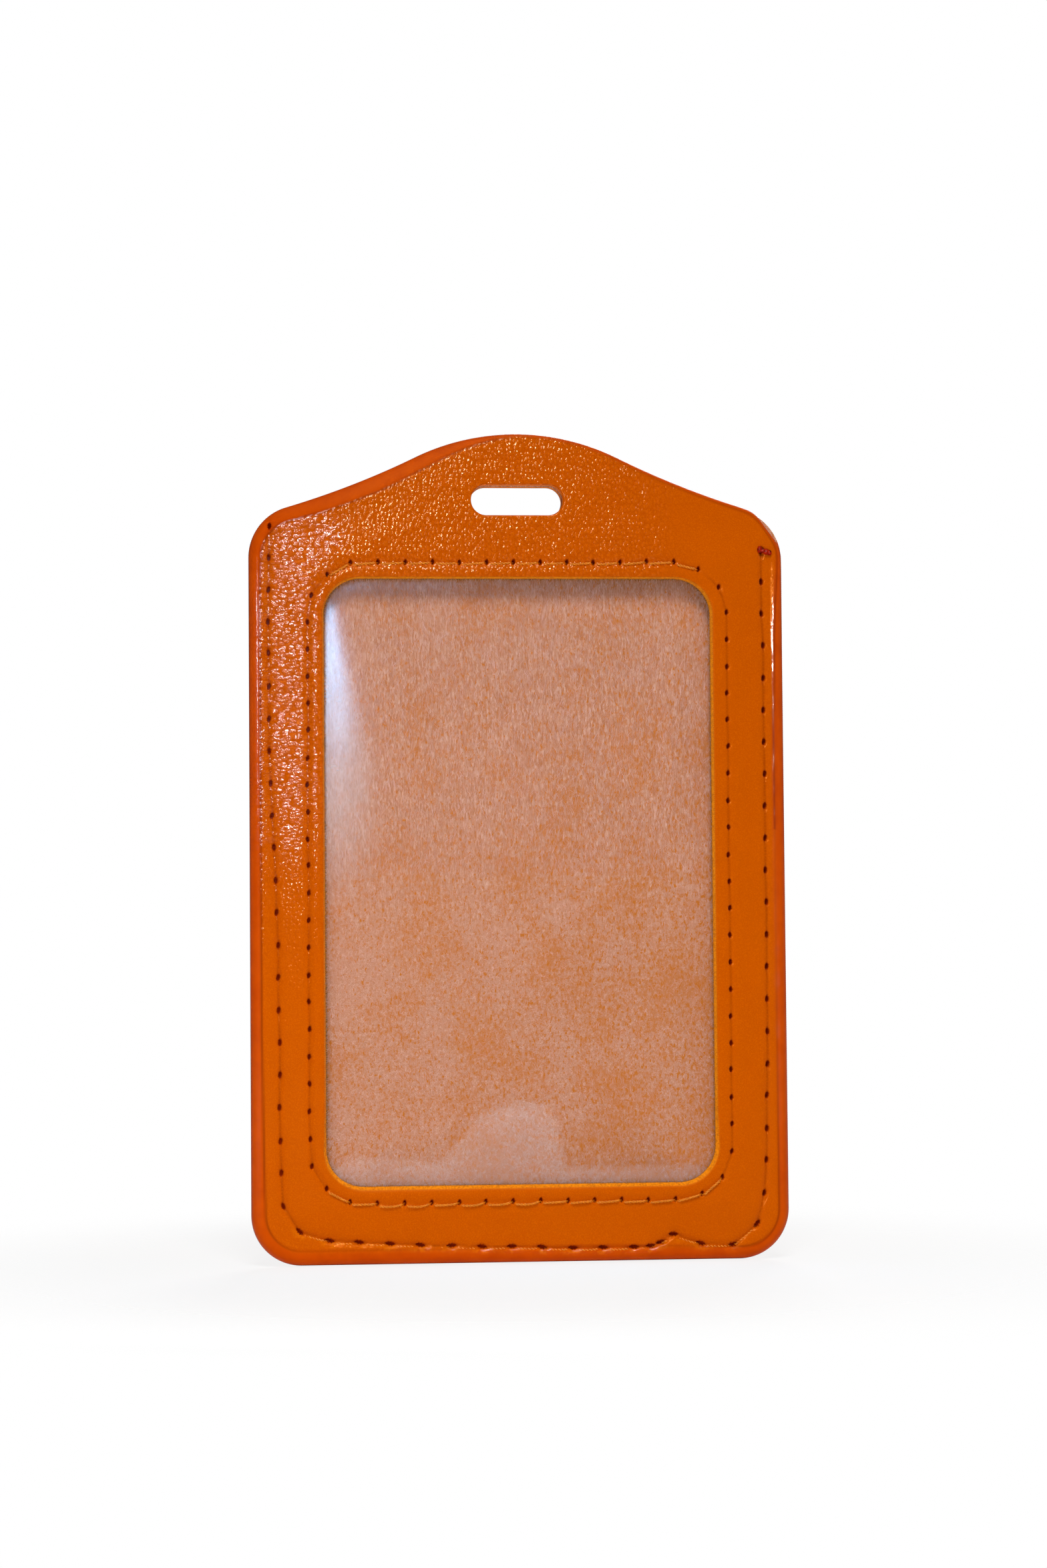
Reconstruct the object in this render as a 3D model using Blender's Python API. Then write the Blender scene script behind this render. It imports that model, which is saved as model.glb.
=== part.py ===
"""An upright card holder on a lanyard, sewn from leather-look sheet.

A front and a back leaf are sewn together along both sides and the bottom, so the top is the pocket's mouth.
The front leaf has a clear window, and a slot for the lanyard's clip goes through both heads.
Lengths are in metres. The front faces -Y, +Z is up, and the origin is the centre of the slot.
"""

import math
from bisect import bisect_left
from itertools import accumulate

import bmesh
import bpy
from mathutils import Matrix, Vector

# Window in the front leaf, which shows most of a standard card
WINDOW_WIDTH = 0.0528
WINDOW_HEIGHT = 0.0822
WINDOW_CORNER_RADIUS = 0.0050

# Lanyard slot
SLOT_BELOW_CROWN = 0.0091
SLOT_LENGTH = 0.0126
SLOT_WIDTH = 0.0042

# The sheet round the window and the slot
SIDE_FRAME = 0.0101
FOOT_FRAME = 0.0105
WINDOW_BELOW_SLOT = 0.0107

# Outline: a crown, a hollow shoulder and a round corner on each side, and two round corners below
CROWN_RADIUS = 0.0314
SHOULDER_RADIUS = 0.1120
TOP_CORNER_RADIUS = 0.0071
TOP_CORNER_DROP = 0.0169
BOTTOM_CORNER_RADIUS = 0.0068

# Layers, from the front face to the back face: skin, fleece, film, room for a card, fleece, skin
SKIN_SHEET = 0.0007
FLEECE_SHEET = 0.0005
FILM_SHEET = 0.00025
POCKET_DEPTH = 0.0010
GLUE_LINE = 0.00005

# Edge paint
EDGE_PAINT = 0.0003
EDGE_PAINT_GAP = 0.00005

# Thread and needle holes: two threads lie side by side in each hole
THREAD_RADIUS = 0.00017
THREAD_CLEARANCE = 0.00005
NEEDLE_HOLE_LENGTH = 0.0010
NEEDLE_HOLE_WIDTH = 4 * THREAD_RADIUS + 3 * THREAD_CLEARANCE
TUCK_SHARE = 0.35

# Groove that the stitches are drawn into, so that they lie level with the skin
GROOVE_MARGIN = 0.00013
GROOVE_WIDTH = NEEDLE_HOLE_WIDTH + 2 * GROOVE_MARGIN
GROOVE_DEPTH = 2 * (THREAD_RADIUS + THREAD_CLEARANCE)
GROOVE_END = NEEDLE_HOLE_LENGTH / 2 + THREAD_CLEARANCE

# Seam round the window, which holds the film
WINDOW_SEAM_MARGIN = 0.0022
WINDOW_STITCH = 0.00365
FILM_MARGIN = 0.0016

# Seam round the holder, whose ends lie below the outline's top corners
OUTER_SEAM_INSET = 0.0029
OUTER_STITCH = 0.0043
LEFT_SEAM_END_DROP = 0.0014
RIGHT_SEAM_END_DROP = 0.0046
TAIL_LENGTH = 0.0014
TAIL_RADIUS = 0.00025
TAIL_DROP_SHARES = (0.0, 0.12, 0.35)

# The front leaf's head bends forward along a line just above the seam's ends
FOLD_MARGIN = 0.0002
FOLD_GAP = 0.0003
FOLD_ABOVE_SEAM = GROOVE_END + FOLD_MARGIN + FOLD_GAP / 2

# How finely round stretches are divided
CROWN_STEPS = 6
SHOULDER_STEPS = 5
CORNER_STEPS = 7
WINDOW_CORNER_STEPS = 5
SLOT_END_STEPS = 8
LEAST_BEND = math.radians(1)
CUT_OVERRUN = 0.0010
WELD_DISTANCE = 0.000001

# Places that follow from the sizes above
HALF_WIDTH = WINDOW_WIDTH / 2 + SIDE_FRAME
TOP_Z = SLOT_BELOW_CROWN
BOTTOM_Z = -WINDOW_BELOW_SLOT - WINDOW_HEIGHT - FOOT_FRAME
WINDOW_CENTRE_Z = -WINDOW_BELOW_SLOT - WINDOW_HEIGHT / 2
LEAF = SKIN_SHEET + GLUE_LINE + FLEECE_SHEET
THICKNESS = LEAF + GLUE_LINE + FILM_SHEET + POCKET_DEPTH + LEAF
FRONT_Y = -THICKNESS / 2
BACK_Y = THICKNESS / 2
FRONT_FLEECE_Y = FRONT_Y + SKIN_SHEET + GLUE_LINE
FILM_Y = FRONT_Y + LEAF + GLUE_LINE
FILM_BACK_Y = FILM_Y + FILM_SHEET
BACK_FLEECE_Y = BACK_Y - LEAF
BACK_SKIN_Y = BACK_Y - SKIN_SHEET
SEAM_X = HALF_WIDTH - OUTER_SEAM_INSET
CORNER_Z = TOP_Z - TOP_CORNER_DROP
OUTLINE_TOP_Z_AT_SEAM = CORNER_Z + math.sqrt(
    TOP_CORNER_RADIUS**2 - (TOP_CORNER_RADIUS - OUTER_SEAM_INSET) ** 2
)
SEAM_LEFT_END = Vector((-SEAM_X, OUTLINE_TOP_Z_AT_SEAM - LEFT_SEAM_END_DROP))
SEAM_RIGHT_END = Vector((SEAM_X, OUTLINE_TOP_Z_AT_SEAM - RIGHT_SEAM_END_DROP))
SHEET_INSET = EDGE_PAINT + EDGE_PAINT_GAP


def clear_scene():
    for old in list(bpy.data.objects):
        bpy.data.objects.remove(old, do_unlink=True)


def new_collection(name):
    collection = bpy.data.collections.new(name)
    bpy.context.scene.collection.children.link(collection)
    return collection


def new_material(name, colour, roughness, alpha=1.0):
    material = bpy.data.materials.new(name)
    material.use_nodes = True
    shader = material.node_tree.nodes["Principled BSDF"]
    shader.inputs["Base Color"].default_value = (*colour, 1.0)
    shader.inputs["Roughness"].default_value = roughness
    shader.inputs["Metallic"].default_value = 0.0
    shader.inputs["Alpha"].default_value = alpha
    return material


# Flat outlines are lists of 2D vectors, whose x is the world's X and whose y is the world's Z


def arc(centre, radius, start, end, steps):
    """Points on an arc, both ends included, with angles in radians."""
    angles = [start + (end - start) * n / steps for n in range(steps + 1)]
    return [centre + radius * Vector((math.cos(a), math.sin(a))) for a in angles]


def circle_touching(first, first_radius, second, second_radius, radius):
    """The centre of a circle that touches two others from outside, on the right of the way between them."""
    first_reach = first_radius + radius
    second_reach = second_radius + radius
    way = second - first
    along = (first_reach**2 - second_reach**2 + way.length_squared) / (2 * way.length)
    aside = math.sqrt(first_reach**2 - along**2)
    forward = way.normalized()
    return first + along * forward + aside * Vector((-forward.y, forward.x))


def angle_towards(start, end):
    return math.atan2(end.y - start.y, end.x - start.x)


def holder_outline(inset):
    """The whole outline, clockwise from the crown, moved in by the inset."""
    crown = Vector((0, TOP_Z - CROWN_RADIUS))
    corner = Vector((HALF_WIDTH - TOP_CORNER_RADIUS, CORNER_Z))
    foot = Vector((HALF_WIDTH - BOTTOM_CORNER_RADIUS, BOTTOM_Z + BOTTOM_CORNER_RADIUS))
    shoulder = circle_touching(crown, CROWN_RADIUS, corner, TOP_CORNER_RADIUS, SHOULDER_RADIUS)
    crown_end = angle_towards(crown, shoulder)
    corner_start = angle_towards(corner, shoulder)
    right = arc(crown, CROWN_RADIUS - inset, math.pi / 2, crown_end, CROWN_STEPS)
    right += arc(
        shoulder, SHOULDER_RADIUS + inset, crown_end - math.pi, corner_start - math.pi, SHOULDER_STEPS
    )[1:]
    right += arc(corner, TOP_CORNER_RADIUS - inset, corner_start, 0, CORNER_STEPS)[1:]
    right += arc(foot, BOTTOM_CORNER_RADIUS - inset, 0, -math.pi / 2, CORNER_STEPS)
    left = [Vector((-p.x, p.y)) for p in reversed(right[1:])]
    return right + left


def rounded_rectangle(width, height, radius, centre_z, steps):
    """Clockwise from the top right corner."""
    points = []
    for side_x, side_z, start in ((1, 1, 90), (1, -1, 0), (-1, -1, -90), (-1, 1, -180)):
        centre = Vector((side_x * (width / 2 - radius), centre_z + side_z * (height / 2 - radius)))
        points += arc(centre, radius, math.radians(start), math.radians(start - 90), steps)
    return points


def window_outline(margin=0.0):
    """The window's edge, moved out by the margin."""
    return rounded_rectangle(
        WINDOW_WIDTH + 2 * margin,
        WINDOW_HEIGHT + 2 * margin,
        WINDOW_CORNER_RADIUS + margin,
        WINDOW_CENTRE_Z,
        WINDOW_CORNER_STEPS,
    )


def slot_outline():
    radius = SLOT_WIDTH / 2
    reach = SLOT_LENGTH / 2 - radius
    right = arc(Vector((reach, 0)), radius, math.pi / 2, -math.pi / 2, SLOT_END_STEPS)
    return right + [-p for p in right]


# The fold runs from above one end of the outer seam to above the other
FOLD_LEFT = SEAM_LEFT_END + Vector((0, FOLD_ABOVE_SEAM))
FOLD_RIGHT = SEAM_RIGHT_END + Vector((0, FOLD_ABOVE_SEAM))
FOLD_WAY = (FOLD_RIGHT - FOLD_LEFT).normalized()
FOLD_UP = Vector((-FOLD_WAY.y, FOLD_WAY.x))
FOLD_MIDDLE = (FOLD_LEFT + FOLD_RIGHT) / 2


def part_beyond_fold(points, up):
    """The stretch of an outline above the fold (up = 1) or below it (up = -1), half the gap clear of it."""
    kept = []
    heights = [up * (p - FOLD_MIDDLE).dot(FOLD_UP) - FOLD_GAP / 2 for p in points]
    for n, (point, height) in enumerate(zip(points, heights)):
        before, height_before = points[n - 1], heights[n - 1]
        if (height > 0) != (height_before > 0):
            kept.append(before.lerp(point, height_before / (height_before - height)))
        if height > 0:
            kept.append(point)
    return kept


def head_edge(outline):
    """The head's edge from the fold's left end over the crown to its right end."""
    points = part_beyond_fold(outline, 1)
    # The step along the fold itself, from its right end to its left, is the longest of all
    start = max(range(len(points)), key=lambda n: (points[n] - points[n - 1]).length)
    return points[start:] + points[:start]


def spaced_along(path, stitch, closed):
    """Evenly spaced places on a path, about a stitch apart, each with the seam's direction there."""
    corners = path + path[:1] if closed else path
    lengths = [(b - a).length for a, b in zip(corners, corners[1:])]
    reached = list(accumulate(lengths))
    # An even number of stitches brings both threads of a closed seam round to where they started
    count = 2 * round(reached[-1] / stitch / 2)
    places = []
    for n in range(count if closed else count + 1):
        distance = reached[-1] * n / count
        leg = bisect_left(reached, distance)
        left_over = (reached[leg] - distance) / lengths[leg]
        places.append(corners[leg + 1].lerp(corners[leg], left_over))
    return [(place, seam_direction(places, n, closed)) for n, place in enumerate(places)]


def seam_direction(places, n, closed):
    """Midway between the directions of the stitches on both sides of a place."""
    way = Vector((0, 0))
    if closed or n > 0:
        way += (places[n] - places[n - 1]).normalized()
    if closed or n < len(places) - 1:
        way += (places[(n + 1) % len(places)] - places[n]).normalized()
    return way.normalized()


def window_seam():
    return spaced_along(window_outline(WINDOW_SEAM_MARGIN), WINDOW_STITCH, closed=True)


def outer_seam():
    """From the left end, down, along the bottom and up to the right end."""
    radius = BOTTOM_CORNER_RADIUS - OUTER_SEAM_INSET
    path = [SEAM_LEFT_END]
    for side, start in ((-1, math.pi), (1, 1.5 * math.pi)):
        centre = Vector((side * (SEAM_X - radius), BOTTOM_Z + BOTTOM_CORNER_RADIUS))
        path += arc(centre, radius, start, start + math.pi / 2, CORNER_STEPS)
    path.append(SEAM_RIGHT_END)
    return spaced_along(path, OUTER_STITCH, closed=False)


def across(way):
    """The direction at a right angle to a seam's, on its left."""
    return Vector((-way.y, way.x))


def groove_outlines(seam, closed):
    """The two edges of a seam's groove as loops or, on an open seam, its one outline, with square ends."""
    left, right = [], []
    for n, (place, way) in enumerate(seam):
        is_end = not closed and n in (0, len(seam) - 1)
        bend = 0 if is_end else way.angle(place - seam[n - 1][0])
        if is_end or bend > LEAST_BEND:
            # At a bend the groove keeps its width along the stitches on both sides
            reach = across(way) * GROOVE_WIDTH / 2 / math.cos(bend)
            left.append(place + reach)
            right.append(place - reach)
    if closed:
        return [left, right]
    for points in (left, right):
        points[0] -= seam[0][1] * GROOVE_END
        points[-1] += seam[-1][1] * GROOVE_END
    return [left + right[::-1]]


def new_curve(name, collection, material, dimensions):
    curve = bpy.data.curves.new(name, "CURVE")
    curve.dimensions = dimensions
    curve.materials.append(material)
    piece = bpy.data.objects.new(name, curve)
    collection.objects.link(piece)
    return piece


def add_line(curve, points, closed):
    line = curve.splines.new("POLY")
    line.points.add(len(points) - 1)
    for target, point in zip(line.points, points):
        target.co = (*point, 0, 1) if len(point) == 2 else (*point, 1)
    line.use_cyclic_u = closed


def plate(name, collection, material, outlines, front_y, thickness):
    """A flat sheet that stands upright. The first outline is its edge, and the others are holes."""
    piece = new_curve(name, collection, material, "2D")
    piece.data.fill_mode = "BOTH"
    piece.data.extrude = thickness / 2
    for points in outlines:
        add_line(piece.data, points, closed=True)
    piece.location = (0, front_y + thickness / 2, 0)
    piece.rotation_euler = (math.pi / 2, 0, 0)
    return mesh_from_curve(piece, collection)


def tube(name, collection, material, points, radius):
    piece = new_curve(name, collection, material, "3D")
    piece.data.bevel_depth = radius
    piece.data.bevel_resolution = 0
    piece.data.use_fill_caps = True
    add_line(piece.data, points, closed=False)
    return piece


def thread_points(seam, closed, first, front_y, back_y):
    """The way of one of a seam's two threads: along one face, through a hole, and along the other face.

    The first thread starts on the front and the second on the back, so that between them they cover both
    faces from hole to hole. In each hole they lie side by side. front_y and back_y are their middle lines.
    """
    faces = (front_y, back_y)
    along = NEEDLE_HOLE_LENGTH / 2 - THREAD_RADIUS - THREAD_CLEARANCE
    aside = (THREAD_RADIUS + THREAD_CLEARANCE / 2) * (1 if first else -1)

    def at(hole, side, face):
        place, way = seam[hole % len(seam)]
        flat = place + side * along * way + aside * across(way)
        return Vector((flat.x, faces[face % 2], flat.y))

    start_face = 0 if first else 1
    gaps = len(seam) if closed else len(seam) - 1
    points = []
    for gap in range(gaps):
        face = start_face + gap
        points += [at(gap, 1, face), at(gap + 1, -1, face)]
    tucked_start = points[0].lerp(at(0, -1, start_face + 1), TUCK_SHARE)
    tucked_end = points[-1].lerp(at(gaps, 1, start_face + gaps), TUCK_SHARE)
    return [tucked_start, *points, tucked_end]


def mesh_from_curve(piece, collection):
    """The same piece as a welded mesh, which a Boolean can cut."""
    bpy.context.view_layer.update()
    graph = bpy.context.evaluated_depsgraph_get()
    mesh = bpy.data.meshes.new_from_object(piece.evaluated_get(graph))
    welded = bmesh.new()
    welded.from_mesh(mesh)
    bmesh.ops.remove_doubles(welded, verts=welded.verts, dist=WELD_DISTANCE)
    bmesh.ops.recalc_face_normals(welded, faces=welded.faces)
    welded.to_mesh(mesh)
    welded.free()
    name, placed = piece.name, piece.matrix_world.copy()
    bpy.data.objects.remove(piece)
    made = bpy.data.objects.new(name, mesh)
    made.matrix_world = placed
    collection.objects.link(made)
    return made


def block(centre, way, size):
    """A matrix that turns a unit cube into a block of this size, whose length lies along a flat direction."""
    turn = Matrix.Rotation(-math.atan2(way.y, way.x), 4, "Y")
    return Matrix.Translation(centre) @ turn @ Matrix.Diagonal((*size, 1))


def new_cutter(name, collection, blocks):
    """One cutting tool made of separate blocks."""
    shape = bmesh.new()
    for matrix in blocks:
        bmesh.ops.create_cube(shape, size=1, matrix=matrix)
    mesh = bpy.data.meshes.new(name)
    shape.to_mesh(mesh)
    shape.free()
    cutter = bpy.data.objects.new(name, mesh)
    collection.objects.link(cutter)
    return hidden(cutter)


def hidden(cutter):
    cutter.hide_render = True
    cutter.display_type = "WIRE"
    return cutter


def needle_cutter(name, collection, seam, back_y):
    """A small block through each hole of a seam, from in front of the holder to behind back_y."""
    front_y = FRONT_Y - CUT_OVERRUN
    size = (NEEDLE_HOLE_LENGTH, back_y + CUT_OVERRUN - front_y, NEEDLE_HOLE_WIDTH)
    middle_y = (front_y + back_y + CUT_OVERRUN) / 2
    blocks = [block((place.x, middle_y, place.y), way, size) for place, way in seam]
    return new_cutter(name, collection, blocks)


def groove_cutter(name, collection, outlines, start_y):
    """A band along a seam, deeper than the groove by the overrun."""
    return hidden(plate(name, collection, None, outlines, start_y, GROOVE_DEPTH + CUT_OVERRUN))


def front_of_head_cutter(collection):
    """A block over all that lies above the fold and in front of the back leaf."""
    depth = BACK_FLEECE_Y - FRONT_Y + CUT_OVERRUN
    height = TOP_Z - FOLD_RIGHT.y + CUT_OVERRUN
    centre = FOLD_MIDDLE + FOLD_UP * (height / 2)
    size = (2 * (HALF_WIDTH + CUT_OVERRUN), depth, height)
    place = (centre.x, BACK_FLEECE_Y - depth / 2, centre.y)
    return new_cutter("front_of_head_cutter", collection, [block(place, FOLD_WAY, size)])


def cut_with(piece, cutters):
    for cutter in cutters:
        cut = piece.modifiers.new(cutter.name, "BOOLEAN")
        cut.operation = "DIFFERENCE"
        cut.solver = "EXACT"
        cut.object = cutter


def add_front_leaf(parts, materials, cuts):
    """Skin and fleece below and above the fold, and the window's film. It returns the head's pieces."""
    edge = holder_outline(SHEET_INSET)
    field = [part_beyond_fold(edge, -1), window_outline()]
    needles = [cuts["window needles"], cuts["outer needles"]]
    grooves = [cuts["window groove"], cuts["front outer groove"]]
    skin = plate("front_panel", parts, materials["leather"], field, FRONT_Y, SKIN_SHEET)
    cut_with(skin, grooves + needles)
    fleece = plate(
        "front_panel_fleece", parts, materials["fleece"], field, FRONT_FLEECE_Y, FLEECE_SHEET
    )
    cut_with(fleece, needles)
    film_edge = window_outline(WINDOW_SEAM_MARGIN + FILM_MARGIN)
    film = plate("window_film", parts, materials["film"], [film_edge], FILM_Y, FILM_SHEET)
    cut_with(film, [cuts["window needles"]])
    head = [part_beyond_fold(edge, 1), slot_outline()]
    return [
        plate("front_head", parts, materials["leather"], head, FRONT_Y, SKIN_SHEET),
        plate("front_head_fleece", parts, materials["fleece"], head, FRONT_FLEECE_Y, FLEECE_SHEET),
    ]


def add_back_leaf(parts, materials, cuts):
    leaf = [holder_outline(SHEET_INSET), slot_outline()]
    fleece = plate(
        "back_panel_fleece", parts, materials["fleece"], leaf, BACK_FLEECE_Y, FLEECE_SHEET
    )
    cut_with(fleece, [cuts["outer needles"]])
    skin = plate("back_panel", parts, materials["leather"], leaf, BACK_SKIN_Y, SKIN_SHEET)
    cut_with(skin, [cuts["back outer groove"], cuts["outer needles"]])


def add_edge_paint(parts, cuts, material):
    """The painted rim of the joined leaves, and that of the front head, which it returns."""
    outside, inside = holder_outline(0), holder_outline(EDGE_PAINT)
    rim = plate("edge_paint", parts, material, [outside, inside], FRONT_Y, THICKNESS)
    cut_with(rim, [cuts["front of head"]])
    # The rim of the head runs along the outer edge one way and along the inner edge back
    band = head_edge(outside) + head_edge(inside)[::-1]
    return plate("front_head_edge_paint", parts, material, [band], FRONT_Y, LEAF)


def add_threads(parts, material):
    """Both threads of both seams. In a groove a thread lies just under the skin's face."""
    window, outer = window_seam(), outer_seam()
    depth = THREAD_RADIUS + THREAD_CLEARANCE
    for number, first in ((1, True), (2, False)):
        way = thread_points(window, True, first, FRONT_Y + depth, FILM_BACK_Y + depth)
        tube(f"window_seam_thread_{number}", parts, material, way, THREAD_RADIUS)
        way = thread_points(outer, False, first, FRONT_Y + depth, BACK_Y - depth)
        tube(f"outer_seam_thread_{number}", parts, material, way, THREAD_RADIUS)


def add_thread_tail(parts, material):
    """The melted end of the thread, lying on the front beside the seam's right end."""
    start = SEAM_RIGHT_END + Vector((NEEDLE_HOLE_WIDTH / 2 + TAIL_RADIUS, 0))
    y = FRONT_Y - TAIL_RADIUS - THREAD_CLEARANCE
    last = len(TAIL_DROP_SHARES) - 1
    points = [
        Vector((start.x + TAIL_LENGTH * n / last, y, start.y - TAIL_LENGTH * drop))
        for n, drop in enumerate(TAIL_DROP_SHARES)
    ]
    tube("thread_tail", parts, material, points, TAIL_RADIUS)


def hinge_empty(parts, pieces):
    """An empty on the fold, in the front face, that carries the head's pieces."""
    empty = bpy.data.objects.new("front_head_flex_axis", None)
    parts.objects.link(empty)
    empty.location = (FOLD_MIDDLE.x, FRONT_Y, FOLD_MIDDLE.y)
    empty.rotation_euler = (0, -math.atan2(FOLD_WAY.y, FOLD_WAY.x), 0)
    bpy.context.view_layer.update()
    for piece in pieces:
        piece.parent = empty
        piece.matrix_parent_inverse = empty.matrix_world.inverted()


def make_cutters(collection):
    window, outer = window_seam(), outer_seam()
    outer_band = groove_outlines(outer, closed=False)
    front_start, back_start = FRONT_Y - CUT_OVERRUN, BACK_Y - GROOVE_DEPTH
    return {
        "window needles": needle_cutter("window_needle_cutter", collection, window, FILM_BACK_Y),
        "outer needles": needle_cutter("outer_needle_cutter", collection, outer, BACK_Y),
        "window groove": groove_cutter(
            "window_groove_cutter", collection, groove_outlines(window, closed=True), front_start
        ),
        "front outer groove": groove_cutter(
            "front_outer_groove_cutter", collection, outer_band, front_start
        ),
        "back outer groove": groove_cutter(
            "back_outer_groove_cutter", collection, outer_band, back_start
        ),
        "front of head": front_of_head_cutter(collection),
    }


def main():
    clear_scene()
    parts = new_collection("id_holder")
    cuts = make_cutters(new_collection("cutters"))
    materials = {
        "leather": new_material("orange_leather", (0.578, 0.098, 0.0024), 0.45),
        "edge": new_material("painted_edge", (0.515, 0.0545, 0.0006), 0.2),
        "fleece": new_material("brushed_fleece", (0.558, 0.246, 0.156), 0.95),
        "film": new_material("clear_film", (0.92, 0.94, 0.96), 0.08, alpha=0.25),
        "thread": new_material("orange_thread", (0.75, 0.19, 0.02), 0.6),
        "tail": new_material("melted_thread", (0.156, 0.007, 0.005), 0.4),
    }
    head_pieces = add_front_leaf(parts, materials, cuts)
    add_back_leaf(parts, materials, cuts)
    head_pieces.append(add_edge_paint(parts, cuts, materials["edge"]))
    add_threads(parts, materials["thread"])
    add_thread_tail(parts, materials["tail"])
    hinge_empty(parts, head_pieces)


if __name__ == "__main__":
    main()
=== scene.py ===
"""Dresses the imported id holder: grained leather, painted edges, stitches, clear film and a napped lining.

Flat places are rows of x and z, in metres. A facing of -1 means the front and 1 the back.
"""

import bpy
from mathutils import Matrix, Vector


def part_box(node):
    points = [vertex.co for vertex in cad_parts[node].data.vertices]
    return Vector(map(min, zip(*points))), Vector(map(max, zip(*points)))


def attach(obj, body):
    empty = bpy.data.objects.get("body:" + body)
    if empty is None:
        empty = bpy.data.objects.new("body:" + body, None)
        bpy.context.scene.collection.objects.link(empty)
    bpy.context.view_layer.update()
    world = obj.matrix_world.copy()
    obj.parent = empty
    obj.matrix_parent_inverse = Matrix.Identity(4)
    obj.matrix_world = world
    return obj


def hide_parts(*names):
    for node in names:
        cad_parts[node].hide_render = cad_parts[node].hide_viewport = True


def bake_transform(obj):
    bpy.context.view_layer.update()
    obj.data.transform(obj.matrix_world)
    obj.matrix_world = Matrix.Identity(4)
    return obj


bl_info = {
    "name": "Id Holder Dressing",
    "version": (1, 0, 0),
    "blender": (4, 5, 0),
    "location": "3D View > Sidebar > Id Holder",
    "description": "Builds the finish of a leather-look card holder around its packed model",
    "category": "Object",
}

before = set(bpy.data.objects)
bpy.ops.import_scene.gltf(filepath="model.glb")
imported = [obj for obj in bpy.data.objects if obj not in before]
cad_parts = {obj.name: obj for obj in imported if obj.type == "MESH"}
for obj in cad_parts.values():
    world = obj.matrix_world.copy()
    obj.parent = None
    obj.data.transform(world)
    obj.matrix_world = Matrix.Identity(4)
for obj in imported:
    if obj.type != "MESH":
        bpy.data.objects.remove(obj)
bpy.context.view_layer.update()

import math
from collections import namedtuple

import bmesh
import bpy
import numpy as np
from bpy.props import FloatProperty, FloatVectorProperty, PointerProperty
from mathutils import Euler, Vector
from mathutils.geometry import delaunay_2d_cdt
from mathutils.kdtree import KDTree

MM = 0.001

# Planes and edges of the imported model
RIM_LOW, RIM_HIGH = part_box("edge_paint")
FILM_LOW, FILM_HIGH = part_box("window_film")
LINING_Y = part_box("back_panel_fleece")[0].y
HALF_WIDTH = RIM_HIGH.x
TOP_Z = RIM_HIGH.z
BOTTOM_Z = RIM_LOW.z
FRONT_Y = RIM_LOW.y
BACK_Y = RIM_HIGH.y
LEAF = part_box("front_head_fleece")[1].y - FRONT_Y

# Outline, window and slot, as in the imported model
CROWN_RADIUS = 31.4 * MM
SHOULDER_RADIUS = 112.0 * MM
TOP_CORNER_RADIUS = 7.1 * MM
TOP_CORNER_DROP = 16.9 * MM
BOTTOM_CORNER_RADIUS = 6.8 * MM
SLOT_LENGTH = 12.6 * MM
SLOT_WIDTH = 4.2 * MM
WINDOW_WIDTH = 52.8 * MM
WINDOW_HEIGHT = 82.2 * MM
WINDOW_CORNER_RADIUS = 5.0 * MM
WINDOW_CENTRE_Z = -51.8 * MM
WINDOW_SIDE = WINDOW_WIDTH / 2

# How finely the meshes are divided. Insets and margins are rings beside the edges, in millimetres
OUTLINE_PITCH = 0.30 * MM
HOLE_PITCH = 0.27 * MM
GRID_PITCH = 0.245 * MM
BACK_GRID_PITCH = 0.34 * MM
UNDERSIDE_PITCH = 2.4 * MM
UNDERSIDE_INSET = 0.12 * MM
FILM_PITCH = 0.8 * MM
FILM_MARGIN = 3.4 * MM
FINE_PITCH = 0.12 * MM
EDGE_GAP = 0.02 * MM
RIM_INSETS = (0.0, 0.04, 0.10, 0.18, 0.28, 0.40, 0.54, 0.70, 0.88, 1.08, 1.30, 1.52, 1.75, 2.0, 2.25, 2.5)
CUT_MARGINS = (0.0, 0.06, 0.13, 0.21, 0.30, 0.40, 0.52, 0.66, 0.82, 1.0)
SLOT_MARGINS = (0.0, 0.05, 0.12, 0.21, 0.33)

# The sewn edges are pressed together, and the middle stands proud by the room for a card
PINCH_DEPTH = 0.55 * MM
PINCH_FROM = 9.0 * MM
PINCH_TO = 2.6 * MM
MOUTH_FROM_Z = 3.0 * MM
MOUTH_TO_Z = -9.0 * MM
WAVE_HEIGHT = 0.10 * MM

# Painted band: shares of the way round the outline, clockwise from the crown, and its millimetres there
BAND = (
    (0.0, 0.45), (0.05, 0.5), (0.105, 0.6), (0.13, 0.8), (0.15, 1.25), (0.19, 1.5), (0.39, 1.5),
    (0.43, 1.9), (0.47, 2.1), (0.60, 2.05), (0.64, 1.75), (0.69, 1.5), (0.86, 1.5), (0.89, 1.75),
    (0.915, 2.15), (0.94, 2.3), (0.965, 1.9), (0.985, 1.0), (1.0, 0.45),
)
SEWN_RIM_FALL = 1.33 * MM
FREE_RIM_FALL = 0.80 * MM
CUT_FALL = 0.62 * MM
SLOT_FALL = 0.12 * MM
DEEPEST = -1.0 * MM

# The front leaf is trimmed a little short at its right corner, where the lining shows past it
TRIM_PLACE = np.array((34.9 * MM, -3.6 * MM))
TRIM_DEPTH = 0.62 * MM
TRIM_REACH = 2.6 * MM
TRIM_WAY = np.array((-0.86, -0.51))

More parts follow.
